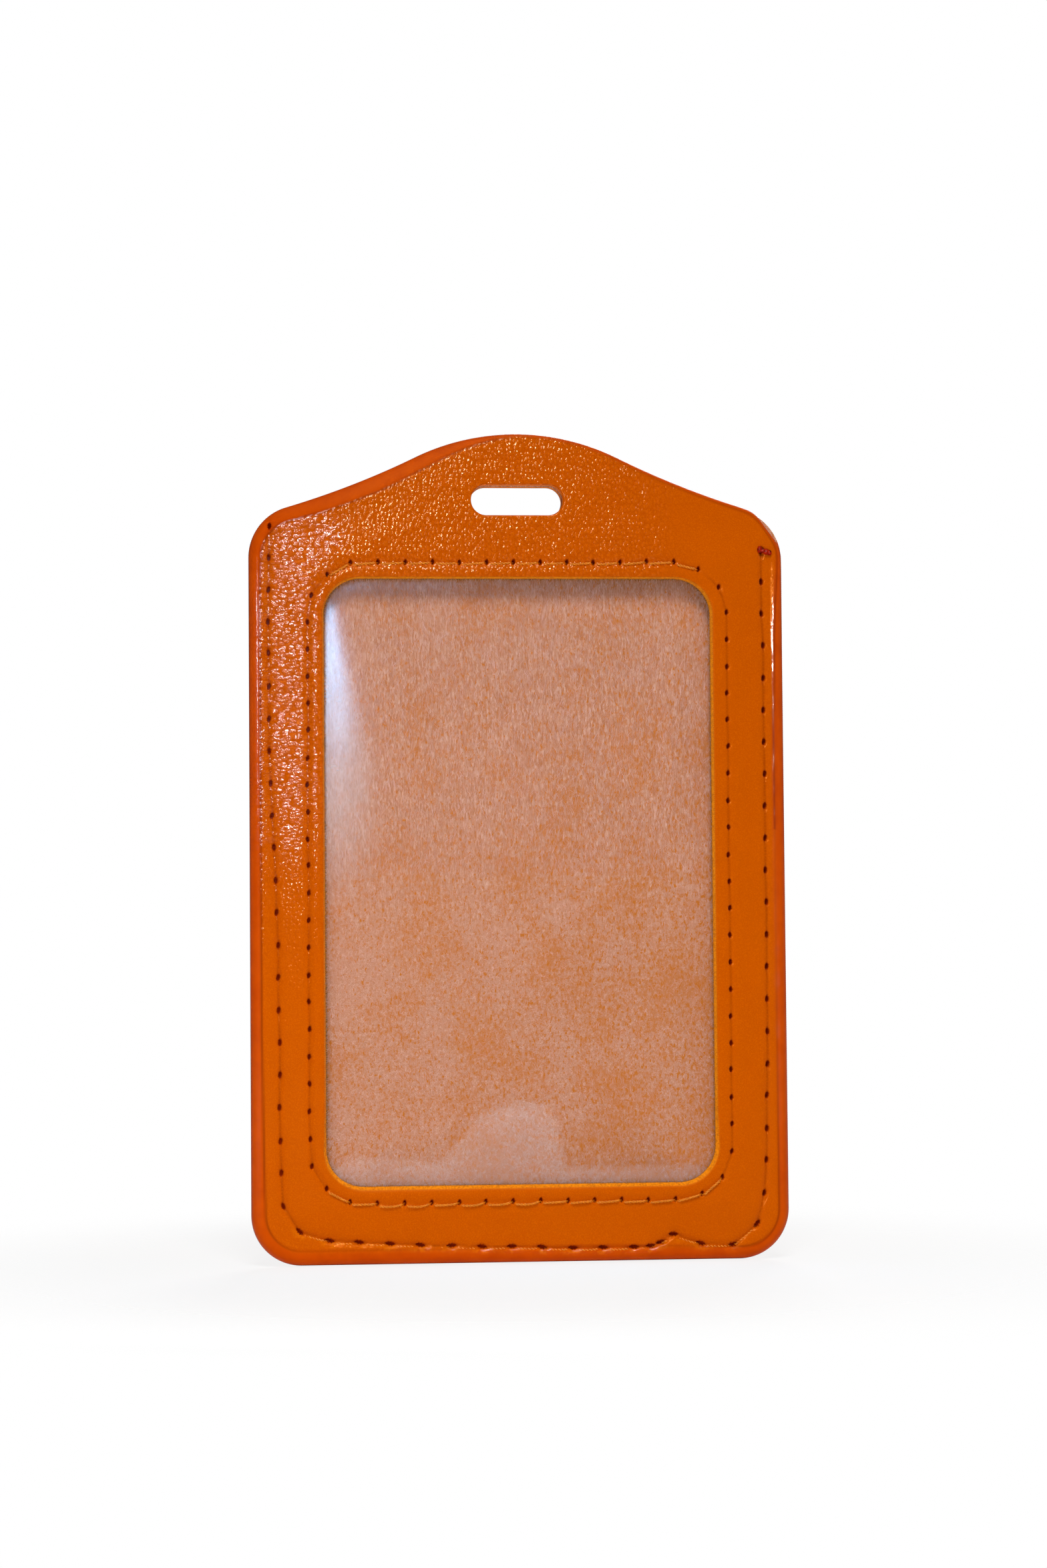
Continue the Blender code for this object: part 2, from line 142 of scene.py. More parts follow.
# Seams: their lines on the face as the photograph shows them, in millimetres
OUTER_LEFT_LINE = (
    (-33.75, -3.45), (-33.8, -12.0), (-33.8, -30.0), (-33.55, -42.0), (-33.1, -50.0), (-32.75, -64.0),
    (-32.55, -80.0), (-32.45, -92.0), (-32.2, -95.3),
)
OUTER_FOOT_LINE = (
    (-30.0, -98.75), (-26.2, -100.05), (-22.0, -100.3), (-10.0, -101.0), (4.0, -101.4), (15.1, -101.5),
)
KINK_LINE = ((17.4, -101.4), (18.75, -100.95), (20.5, -99.85))
OUTER_RIGHT_LINE = (
    (24.3, -101.1), (29.1, -101.3), (32.2, -98.2), (33.05, -94.4), (33.45, -86.0), (33.7, -72.0),
    (33.75, -50.0), (33.7, -30.0), (33.6, -12.0), (33.55, -6.7),
)
OUTER_STITCH = 4.3 * MM
FOOT_STITCH = 4.05 * MM
FOOT_FROM_Z = BOTTOM_Z + 7 * MM
FOOT_TO_Z = BOTTOM_Z + 4 * MM
WINDOW_SEAM_MARGIN = 2.2 * MM
WINDOW_STITCH = 3.68 * MM
NEEDLE_WANDER = 0.05 * MM
PIT_HALF_LENGTH = 0.46 * MM
PIT_HALF_WIDTH = 0.21 * MM
PIT_DEPTH = 0.66 * MM
PIT_RINGS = ((0.4, 6), (0.8, 10), (1.15, 12), (1.6, 14), (2.2, 16))
PIT_REACH = 2.45
THREAD_RADIUS = 0.20 * MM
STRAND_TURN = 0.95 * MM
STITCH_POINTS = 22
SUNK_THREAD = -0.95
TOWARDS_BACK = np.array((0.0, 1.0, 0.0))

# Melted thread end: beads in millimetres, each its place beside the last hole, its width and height
KNOT_BEADS = (
    (-0.20, 0.10, 0.36, 0.50), (0.26, -0.06, 0.40, 0.36), (0.74, -0.22, 0.44, 0.42),
    (1.16, -0.34, 0.30, 0.38),
)
KNOT_DEPTH = 0.30 * MM
KNOT_VOXEL = 0.045 * MM

# Upper edge of the painted glare on the film's foot, in millimetres
FOOT_GLARE_EDGE = (
    (-27, -90.5), (-22, -89.0), (-11, -89.6), (-8.5, -87.0), (-6, -83.3), (0, -81.6), (3, -81.6),
    (4.4, -84.0), (6, -90.5), (24, -90.6), (27, -92.0),
)

# Stage: the camera stands a little to the left and looks slightly up, as in the photograph
CAMERA_PLACE = (-38.1 * MM, -450.0 * MM, -60.2 * MM)
CAMERA_PITCH = math.radians(2.73)
CAMERA_YAW = math.radians(-4.93)
CAMERA_ROLL = math.radians(0.48)
CAMERA_LENS = 76.2
AIM = Vector((0.0, 0.0, -45.0 * MM))
WHITE = (1.0, 1.0, 1.0)
FLOOR_GREY = (0.82, 0.82, 0.82)

# Lamps: place, width, height, the power setting and its share, tint, and the kind of light they keep to
LAMPS = {
    "key": ((-0.02, -0.50, 0.58), 0.24, 0.24, "key_power", 1.0, (1.0, 0.985, 0.97), ""),
    "glint": ((-0.120, -0.44, 0.034), 0.034, 0.055, "glint_power", 1.0, (0.93, 0.94, 1.0), "gloss"),
    "sparkle": ((-0.05, -0.42, 0.17), 0.060, 0.060, "glint_power", 1.5, (0.95, 0.95, 1.0), "gloss"),
    "low": ((-0.03, -0.10, -0.090), 0.12, 0.02, "low_power", 1.0, (1.0, 0.98, 0.96), "diffuse"),
    "rim": ((0.42, -0.22, 0.06), 0.05, 0.16, "rim_power", 1.0, (1.0, 0.97, 1.0), ""),
    "back": ((0.15, 0.5, 0.25), 0.25, 0.25, "key_power", 0.45, (1.0, 0.99, 0.98), ""),
}


def mix(first, second, share):
    return first + (second - first) * share


def smooth(low, high, values):
    """From 0 to 1 as the values go from low to high, with soft ends."""
    share = np.clip((values - low) / (high - low), 0, 1)
    return share * share * (3 - 2 * share)


def bell(values, width):
    return np.exp(-((values / width) ** 2))


def unit(rows):
    """Rows of one length, with a tiny sum that keeps an empty row from dividing by nothing."""
    return rows / (np.linalg.norm(rows, axis=-1, keepdims=True) + 1e-12)


def cyclic(places):
    return np.concatenate([places, places[:1]])


def tree_of(places):
    """A search tree over flat places."""
    tree = KDTree(len(places))
    for number, (x, z) in enumerate(places):
        tree.insert((x, z, 0), number)
    tree.balance()
    return tree


def nearest(places, tree):
    """For each place the number of the tree's nearest one."""
    return np.array([tree.find((x, z, 0))[1] for x, z in places])


def resampled(path, pitch, closed):
    """The same line with points at even steps of about the pitch."""
    line = cyclic(path) if closed else path
    reached = np.concatenate([[0], np.cumsum(np.linalg.norm(np.diff(line, axis=0), axis=1))])
    count = max(3, round(reached[-1] / pitch))
    wanted = np.linspace(0, reached[-1], count + 1)
    if closed:
        wanted = wanted[:-1]
    return np.stack([np.interp(wanted, reached, line[:, k]) for k in (0, 1)], 1)


def softened(points, pitch):
    """A smooth open line through a few listed points, given in millimetres."""
    flat = np.array(points) * MM
    line = [flat[0]]
    ends = np.concatenate([flat[:1] * 2 - flat[1:2], flat, flat[-1:] * 2 - flat[-2:-1]])
    for a, b, c, d in zip(ends, ends[1:], ends[2:], ends[3:]):
        for share in np.linspace(0, 1, 12)[1:]:
            bent = (2 * a - 5 * b + 4 * c - d) * share**2 + (3 * b - a - 3 * c + d) * share**3
            line.append(0.5 * (2 * b + (c - a) * share + bent))
    return resampled(np.array(line), pitch, False)


def arc(centre, radius, start, end):
    """Points on an arc, in radians, close enough together to look round."""
    count = max(4, int(abs(end - start) * radius / FINE_PITCH))
    angles = np.linspace(start, end, count)
    return np.array(centre) + radius * np.stack([np.cos(angles), np.sin(angles)], 1)


def towards(start, end):
    return math.atan2(end[1] - start[1], end[0] - start[0])


def holder_outline(inset):
    """The outline, clockwise from the crown, moved in by the inset."""
    crown = np.array((0, TOP_Z - CROWN_RADIUS))
    corner = np.array((HALF_WIDTH - TOP_CORNER_RADIUS, TOP_Z - TOP_CORNER_DROP))
    foot = np.array((HALF_WIDTH - BOTTOM_CORNER_RADIUS, BOTTOM_Z + BOTTOM_CORNER_RADIUS))
    first, second = CROWN_RADIUS + SHOULDER_RADIUS, TOP_CORNER_RADIUS + SHOULDER_RADIUS
    way = corner - crown
    length = np.linalg.norm(way)
    along = (first**2 - second**2 + length**2) / (2 * length)
    aside = math.sqrt(first**2 - along**2)
    forward = way / length
    shoulder = crown + along * forward + aside * np.array((-forward[1], forward[0]))
    crown_end, corner_start = towards(crown, shoulder), towards(corner, shoulder)
    right = np.concatenate([
        arc(crown, CROWN_RADIUS - inset, math.pi / 2, crown_end),
        arc(shoulder, SHOULDER_RADIUS + inset, crown_end - math.pi, corner_start - math.pi)[1:],
        arc(corner, TOP_CORNER_RADIUS - inset, corner_start, 0)[1:],
        arc(foot, BOTTOM_CORNER_RADIUS - inset, 0, -math.pi / 2),
    ])
    return np.concatenate([right, right[1:][::-1] * (-1, 1)])


def rounded_box(half_width, half_height, radius, centre_z):
    """Clockwise from the top right corner."""
    corners = ((1, 1, 90), (1, -1, 0), (-1, -1, -90), (-1, 1, -180))
    return np.concatenate([
        arc((side_x * (half_width - radius), centre_z + side_z * (half_height - radius)), radius,
            math.radians(start), math.radians(start - 90))
        for side_x, side_z, start in corners
    ])


def window_outline(margin):
    return rounded_box(
        WINDOW_SIDE + margin, WINDOW_HEIGHT / 2 + margin, WINDOW_CORNER_RADIUS + margin, WINDOW_CENTRE_Z
    )


def slot_outline(margin):
    half_height = SLOT_WIDTH / 2 + margin
    return rounded_box(SLOT_LENGTH / 2 + margin, half_height, half_height, 0)


class Line:
    """A flat line that places can be measured against."""

    def __init__(self, path, closed):
        self.closed = closed
        self.path = resampled(path, FINE_PITCH, closed)
        self.steps = np.diff(cyclic(self.path) if closed else self.path, axis=0)
        self.reached = np.concatenate([[0], np.cumsum(np.linalg.norm(self.steps, axis=1))])
        self.length = self.reached[-1]
        self.tree = tree_of(self.path)

    def measure(self, places):
        """For each place: its distance, positive on the line's right, and how far along the line it lies."""
        hits = nearest(places, self.tree)
        best = np.full(len(places), np.inf)
        side = np.zeros(len(places))
        travelled = np.zeros(len(places))
        for shift in (-1, 0):
            first = hits + shift
            first = first % len(self.path) if self.closed else np.clip(first, 0, len(self.steps) - 1)
            step = self.steps[first]
            away = places - self.path[first]
            share = np.clip((away * step).sum(1) / (step**2).sum(1), 0, 1)
            gap = np.linalg.norm(away - step * share[:, None], axis=1)
            nearer = gap < best
            best[nearer] = gap[nearer]
            turn = away[:, 0] * step[:, 1] - away[:, 1] * step[:, 0]
            side[nearer] = np.sign(turn)[nearer]
            travelled[nearer] = (self.reached[first] + share * np.linalg.norm(step, axis=1))[nearer]
        return best * np.where(side == 0, 1, side), travelled


def lumps(places, pitch, seed):
    """Soft random ups and downs from -1 to 1, about a pitch apart. The pitch may differ along x and z."""
    scaled = places / np.array(pitch)
    cell = np.floor(scaled).astype(int)
    share = scaled - cell
    share = share * share * (3 - 2 * share)
    low = cell.min(0)
    heights = np.random.default_rng(seed).uniform(-1, 1, tuple(cell.max(0) - low + 2))
    i, j = (cell - low).T
    bottom = mix(heights[i, j], heights[i + 1, j], share[:, 0])
    top = mix(heights[i, j + 1], heights[i + 1, j + 1], share[:, 0])
    return mix(bottom, top, share[:, 1])


def even_places(low, high, pitch, jitter=0.0, seed=0):
    """A honeycomb of places over a box."""
    rows = np.arange(low[1], high[1], pitch * math.sqrt(3) / 2)
    columns = np.arange(low[0], high[0], pitch)
    grid = np.stack(np.meshgrid(columns, rows), -1)
    grid[1::2, :, 0] += pitch / 2
    places = grid.reshape(-1, 2)
    if jitter:
        places = places + np.random.default_rng(seed).normal(0, jitter * pitch, places.shape)
    return places


def pebbles(places, pitch, stretch, seed):
    """Height of a pebbled grain, 0 in the creases and 1 on the crowns. Stretch is its height over its width."""
    scaled = places * np.array((1, 1 / stretch))
    margin = 3 * pitch
    tree = tree_of(even_places(scaled.min(0) - margin, scaled.max(0) + margin, pitch, 0.24, seed))
    near = np.array([[hit[2] for hit in tree.find_n((x, z, 0), 2)] for x, z in scaled])
    dome = np.clip(1 - (near[:, 0] / (0.72 * pitch)) ** 2, 0, 1)
    crease = 1 - np.exp(-(near[:, 1] - near[:, 0]) / (0.22 * pitch))
    return dome * mix(0.35, 1.0, crease)


class Seam:
    """A row of needle holes with the line between them."""

    def __init__(self, holes, closed, upright):
        self.holes = np.array(holes)
        foot = smooth(FOOT_FROM_Z, FOOT_TO_Z, self.holes[:, 1]) * (not upright)
        self.half_length = mix(PIT_HALF_LENGTH * (0.86 if upright else 1.0), PIT_HALF_LENGTH * 1.4, foot)
        self.gaps = len(holes) if closed else len(holes) - 1
        after = np.roll(self.holes, -1, axis=0) - self.holes
        before = self.holes - np.roll(self.holes, 1, axis=0)
        if not closed:
            after[-1], before[0] = before[-1], after[0]
        # The needle's slits stand upright in one seam and follow the other, and all lean a little
        slit = np.tile((0.0, 1.0), (len(holes), 1)) if upright else unit(unit(after) + unit(before))
        lean = np.random.default_rng(len(holes)).normal(0.12, 0.10, len(holes))
        self.slit = unit(slit - np.stack([-slit[:, 1], slit[:, 0]], 1) * lean[:, None])
        self.line = Line(self.holes, closed)
        self.tree = tree_of(self.holes)

    def pit_places(self, places):
        """How far each place is from its nearest hole's middle, along the slit and across it, in half sizes."""
        hits = nearest(places, self.tree)
        away = places - self.holes[hits]
        slit = self.slit[hits]
        across = away[:, 0] * slit[:, 1] - away[:, 1] * slit[:, 0]
        return (away * slit).sum(1) / self.half_length[hits], across / PIT_HALF_WIDTH

    def pit_rings(self):
        """Rings of places round each hole, so that the mesh has its edge."""
        rings = []
        for hole, slit, half_length in zip(self.holes, self.slit, self.half_length):
            across = np.array((-slit[1], slit[0]))
            rings.append(hole[None])
            for size, count in PIT_RINGS:
                angles = np.linspace(0, 2 * math.pi, count, endpoint=False)[:, None] + size
                ring = half_length * np.cos(angles) * slit + PIT_HALF_WIDTH * np.sin(angles) * across
                rings.append(hole + size * ring)
        return np.concatenate(rings)

    def pits(self, places):
        """Depth share of the needle holes, and their raised lips."""
        along, across = self.pit_places(places)
        size = np.hypot(along, across)
        return 1 - smooth(0.65, 1.2, size), bell(size - 1.75, 0.5) * smooth(0.6, -0.6, across)

    def pull(self, places):
        """1 at the needle holes and 0 midway between them."""
        along, across = self.pit_places(places)
        return bell(np.hypot(along, across * 0.5), 2.2)


def spaced(path, pitch, closed, seed):
    """Places for the needle at nearly even steps."""
    holes = resampled(path, pitch, closed)
    return holes + np.random.default_rng(seed).normal(0, NEEDLE_WANDER, holes.shape)


def outer_seam():
    left, foot, right = (
        spaced(softened(line, FINE_PITCH), pitch, False, seed)
        for line, pitch, seed in (
            (OUTER_LEFT_LINE, OUTER_STITCH, 3),
            (OUTER_FOOT_LINE, FOOT_STITCH, 4),
            (OUTER_RIGHT_LINE, OUTER_STITCH, 5),
        )
    )
    return Seam(np.concatenate([left, foot, np.array(KINK_LINE) * MM, right]), False, False)


OUTER = outer_seam()
WINDOW = Seam(spaced(window_outline(WINDOW_SEAM_MARGIN), WINDOW_STITCH, True, 6), True, True)
OUTLINE = Line(holder_outline(0), True)

Hole = namedtuple("Hole", "outline margins line")
CUT = Hole(window_outline, CUT_MARGINS, Line(window_outline(0), True))
SLOT = Hole(slot_outline, SLOT_MARGINS, Line(slot_outline(0), True))


class Spots:
    """Flat places on a leaf and what lies near each of them."""

    def __init__(self, places):
        self.places = places
        self.x, self.z = places.T
        self.inset, travelled = OUTLINE.measure(places)
        self.cut = -CUT.line.measure(places)[0]
        self.slot = -SLOT.line.measure(places)[0]
        self.outer_gap, self.outer_way = OUTER.line.measure(places)
        self.window_gap = WINDOW.line.measure(places)[0]
        # Width of the painted band at the nearest edge, and shares of that edge's sides
        around = travelled / OUTLINE.length
        self.band = np.interp(around, *np.transpose(BAND)) * MM
        self.right_edge = smooth(0.118, 0.130, around) * smooth(0.40, 0.26, around)
        self.left_edge = smooth(0.60, 0.64, around) * smooth(0.88, 0.85, around)
        self.foot_edge = smooth(0.40, 0.44, around) * smooth(0.62, 0.58, around)
        # 1 where the two leaves are sewn to each other's edges, and 0 at the open mouth
        self.sewn = smooth(MOUTH_FROM_Z, MOUTH_TO_Z, self.z)
        self.pinch = PINCH_DEPTH * self.sewn * smooth(PINCH_FROM, PINCH_TO, self.inset)

    def lumps(self, width, height, seed):
        """Lumps of this width and height, in millimetres."""
        return lumps(self.places, (width * MM, height * MM), seed)

    def waves(self):
        """Broad waves of the sheet."""
        return WAVE_HEIGHT * self.lumps(17, 23, 22) * smooth(0.5 * MM, 7 * MM, self.inset)


class Relief:
    """How far a leaf's face stands out from its flat, and masks for its colours."""

    def __init__(self, spots, leather, window):
        self.spots = spots
        self.height = spots.waves()
        self.pit = np.zeros(len(spots.x))
        self.near_cut = 0.0
        self.masks = {"cut": np.zeros(len(spots.x))}
        self.broken = 1 + 0.22 * spots.lumps(0.9, 1.7, 24)
        self.shape_rim()
        self.draw_outer_seam()
        if window:
            self.draw_window()
        # Painted highlight: flecks of the yellow cut colour on the puckers below the foot's holes stand for
        # glints
        painted_glints = 0.6 * self.pucker * (spots.lumps(0.4, 0.3, 26) > 0)
        self.masks["cut"] = np.maximum(self.masks["cut"], painted_glints)
        self.height -= SLOT_FALL * np.clip(1 - spots.slot / (0.22 * MM), 0, 1) ** 2
        self.height = np.maximum(self.height - PIT_DEPTH * self.pit, np.minimum(self.height, DEEPEST))
        self.add_grain(leather, window)
        paint, gleam = self.masks["paint"], np.clip(self.gleam, 0, 1) * self.masks["paint"]
        self.masks.update(pit=self.pit, gleam=gleam, matt=np.maximum(paint - gleam, self.near_cut))

    def shape_rim(self):
        """The painted band rolls off to the edge, with a crease and a bead along its inner side."""
        spots, inset, band = self.spots, self.spots.inset, self.spots.band
        fall = mix(FREE_RIM_FALL, SEWN_RIM_FALL, spots.sewn)
        share = np.clip((band - inset) / band, 0, 1)
        self.height -= fall * (1 - np.sqrt(np.clip(1 - share**2.4, 0, 1)))
        crease = bell(inset - band, 0.16 * MM) * smooth(0.2 * MM, 0.9 * MM, band)
        bead = (0.03 + 0.07 * spots.foot_edge * self.broken) * bell(inset - band - 0.14 * MM, 0.26 * MM)
        self.height += (bead - 0.07 * crease * (1 - 0.9 * spots.right_edge)) * MM
        self.height += 0.03 * MM * spots.lumps(2.3, 2.3, 21) * smooth(0, band, inset)
        self.gleam = spots.right_edge * smooth(0.85, 1.1, inset / MM) * smooth(2.4, 2.0, inset / MM)
        self.gleam += 0.4 * spots.left_edge * bell(inset - 0.9 * MM, 0.3 * MM)
        # The paint ends softly at the foot and low on the right
        soft = np.clip(spots.foot_edge + spots.right_edge * (spots.z < -45 * MM), 0, 1)
        past = (inset - band) / MM - 0.28 * spots.right_edge
        self.masks["paint"] = 1 - smooth(-0.10 - 0.7 * soft, 0.06 + 0.4 * soft, past)
        self.masks["crease"] = crease * (1 - 0.7 * soft)

    def draw_outer_seam(self):
        """The outer seam draws the sheet down, most of all at the holes."""
        spots, way = self.spots, self.spots.outer_way
        gap, near, length = np.abs(spots.outer_gap), OUTER.pull(spots.places), OUTER.line.length
        in_row = smooth(0, 1.2 * MM, way) * smooth(length, length - 1.2 * MM, way)
        in_row = np.maximum(in_row, bell(gap, 0.6 * MM) * (spots.sewn > 0.2))
        narrow, wide = 0.16 + 0.10 * near, (0.06 + 0.12 * near) * (1 - 0.75 * spots.right_edge)
        drawn = narrow * bell(gap, 0.32 * MM) + wide * bell(gap, 1.0 * MM)
        # On the right the sheet stays low from the seam out to a step up to the painted edge
        outside = spots.right_edge * smooth(-0.05 * MM, 0.20 * MM, spots.outer_gap)
        step = 0.14 * np.clip((spots.inset - 1.18 * MM) / (0.58 * MM), 0, 1) * self.broken
        self.height -= mix(drawn, step + 0.06 * near * bell(gap, 0.4 * MM), outside) * MM * in_row
        self.masks["groove"] = bell(gap, 0.13 * MM) * in_row
        # Below the foot's holes the sheet puckers
        self.pucker = bell(spots.outer_gap - 0.66 * MM, 0.38 * MM) * spots.foot_edge * near
        self.height += 0.10 * MM * self.pucker * spots.lumps(0.46, 0.38, 25)
        self.gleam += 0.6 * self.pucker
        self.punch(OUTER, 0.07 * MM)

    def draw_window(self):
        """The window's seam, and the lip between it and the cut edge."""
        spots, cut = self.spots, self.spots.cut
        gap, near = np.abs(spots.window_gap), WINDOW.pull(spots.places)
        side_row = smooth(WINDOW_SIDE - 1 * MM, WINDOW_SIDE + 1 * MM, np.abs(spots.x))
        narrow = mix(0.08, mix(0.18, 0.03, spots.x > 0), side_row) + 0.05 * near
        self.height -= (narrow * bell(gap, 0.34 * MM) + (0.04 + 0.08 * near) * bell(gap, 0.9 * MM)) * MM
        groove = bell(gap, 0.13 * MM) * mix(0.2, 0.8, side_row)
        self.masks["groove"] = np.maximum(self.masks["groove"], groove)
        self.punch(WINDOW, 0.05 * MM)
        # The lip swells, except on the right, and its cut edge slopes in
        swell = (1 - smooth(20 * MM, 26 * MM, spots.x)) * MM
        low_side = smooth(WINDOW_CENTRE_Z - 30 * MM, WINDOW_CENTRE_Z - 40 * MM, spots.z)
        right_side = smooth(WINDOW_SIDE - 3 * MM, WINDOW_SIDE, spots.x)
        width = mix(0.20, 0.46, np.clip(low_side + right_side * 0.35, 0, 1)) * MM
        slope = np.clip(1 - cut / width, 0, 1)
        self.height += swell * (0.07 * bell(cut - 1.1 * MM, 0.55 * MM) - 0.05 * bell(cut - width, 0.25 * MM))
        self.height -= CUT_FALL * slope
        self.masks["cut"] = smooth(0.0, 0.22, slope)
        self.near_cut = smooth(width + 0.30 * MM, width + 0.05 * MM, cut)

    def punch(self, seam, lip_height):
        pit, lip = seam.pits(self.spots.places)
        self.height += lip_height * lip
        self.pit = np.maximum(self.pit, pit)

    def add_grain(self, leather, window):
        """Pebbles on the head and left, wrinkles down the left strip, and a calmer right side and foot."""
        spots = self.spots
        calm = mix(1.0, 0.35, smooth(14 * MM, 30 * MM, spots.x))
        calm *= mix(1.0, 0.45, smooth(-30 * MM, -75 * MM, spots.z))
        grain = pebbles(spots.places, leather.grain_pitch, leather.grain_stretch, 11)
        free = smooth(0.15 * MM, 0.5 * MM, spots.cut) if window else 1.0
        clear = (1 - self.masks["paint"] * 0.92) * (1 - self.pit) * free
        self.height += leather.grain_depth * calm * clear * (grain - 0.4)
        wander = 2.5 * MM * spots.lumps(5, 5, 33)
        strip = smooth(-22 * MM, -30 * MM, spots.x + wander) * smooth(-60 * MM, -36 * MM, spots.z) * window
        wrinkles = spots.lumps(2.6, 0.75, 31) + 0.6 * spots.lumps(1.3, 0.5, 32)
        self.height += 0.035 * MM * wrinkles * strip * clear
        self.masks.update(grain=grain * clear, calm=calm, strip=strip)


def rest_attribute(mesh, places):
    """Where each point lies at rest, in millimetres, which the patterns follow in every pose."""
    attribute = mesh.attributes.new("place", "FLOAT_VECTOR", "POINT")
    attribute.data.foreach_set("vector", (places / MM).astype(np.float32).ravel())


def point_attribute(mesh, name, values):
    attribute = mesh.attributes.new(name, "FLOAT", "POINT")
    attribute.data.foreach_set("value", np.asarray(values, np.float32))


def linked(name, data):
    """A new object in the scene."""
    piece = bpy.data.objects.new(name, data)
    bpy.context.scene.collection.objects.link(piece)
    return piece


def new_mesh(name, points, faces, material_rows=None):
    """An object from rows of points and blocks of faces, each block with one number of corners."""
    mesh = bpy.data.meshes.new(name)
    mesh.vertices.add(len(points))
    mesh.vertices.foreach_set("co", points.astype(np.float32).ravel())
    corners = np.concatenate([block.ravel() for block in faces])
    totals = np.concatenate([np.full(len(block), block.shape[1]) for block in faces])
    mesh.loops.add(len(corners))
    mesh.loops.foreach_set("vertex_index", corners.astype(np.int32))
    mesh.polygons.add(len(totals))
    starts = np.concatenate([[0], np.cumsum(totals)[:-1]])
    mesh.polygons.foreach_set("loop_start", starts.astype(np.int32))
    mesh.polygons.foreach_set("use_smooth", np.ones(len(totals), bool))
    mesh.update(calc_edges=True)
    if material_rows is not None:
        mesh.polygons.foreach_set("material_index", material_rows.astype(np.int32))
    rest_attribute(mesh, points)
    return linked(name, mesh)


def face_outwards(piece):
    """Turns a closed mesh's faces outwards."""
    shape = bmesh.new()
    shape.from_mesh(piece.data)
    bmesh.ops.recalc_face_normals(shape, faces=shape.faces)
    shape.to_mesh(piece.data)
    shape.free()


def triangulated(loops, inner):
    """Flat triangles inside the first loop and outside the others, and where each loop's points went."""
    places = np.concatenate([*loops, inner])
    edges, start = [], 0
    for loop in loops:
        count = len(loop)
        edges += [(start + n, start + (n + 1) % count) for n in range(count)]
        start += count
    found = delaunay_2d_cdt([Vector(p) for p in places / MM], edges, [], 1, 1e-5)
    flat = np.array([tuple(v) for v in found[0]]) * MM
    went = {source: n for n, sources in enumerate(found[3]) for source in sources}
    ends = np.cumsum([0] + [len(loop) for loop in loops])
    orders = [np.array([went[n] for n in range(a, b)]) for a, b in zip(ends, ends[1:])]
    triangles = np.array(found[2])
    for loop in loops[1:]:
        middles = flat[triangles].mean(1)
        triangles = triangles[Line(loop, True).measure(middles)[0] < 0]
    return flat, triangles, orders


def clear_of_edges(places, holes, rim_gap, hole_gaps):
    """The places further from the rim and from each hole than the gaps."""
    places = places[OUTLINE.measure(places)[0] > rim_gap]
    for hole, gap in zip(holes, hole_gaps):
        places = places[-hole.line.measure(places)[0] > gap]
    return places


def leaf_places(pitch, holes, seams):
    """Places for a leaf's face: rings along its edges and round its needle holes, and a grid between."""
    rings = [resampled(holder_outline(inset * MM), OUTLINE_PITCH, True) for inset in RIM_INSETS[1:]]
    for hole in holes:
        rings += [resampled(hole.outline(margin * MM), HOLE_PITCH, True) for margin in hole.margins[1:]]
    grid = even_places((-HALF_WIDTH, BOTTOM_Z), (HALF_WIDTH, TOP_Z), pitch, 0.06, 8)
    apart = pitch * 0.6
    grid = clear_of_edges(
        grid, holes, RIM_INSETS[-1] * MM + apart, [hole.margins[-1] * MM + apart for hole in holes]
    )
    loose = np.concatenate(rings + [grid])
    for seam in seams:
        along, across = seam.pit_places(loose)
        loose = loose[along**2 + across**2 > PIT_REACH**2]
    loose = np.concatenate([loose, *(seam.pit_rings() for seam in seams)])
    return clear_of_edges(loose, holes, EDGE_GAP, [EDGE_GAP] * len(holes))


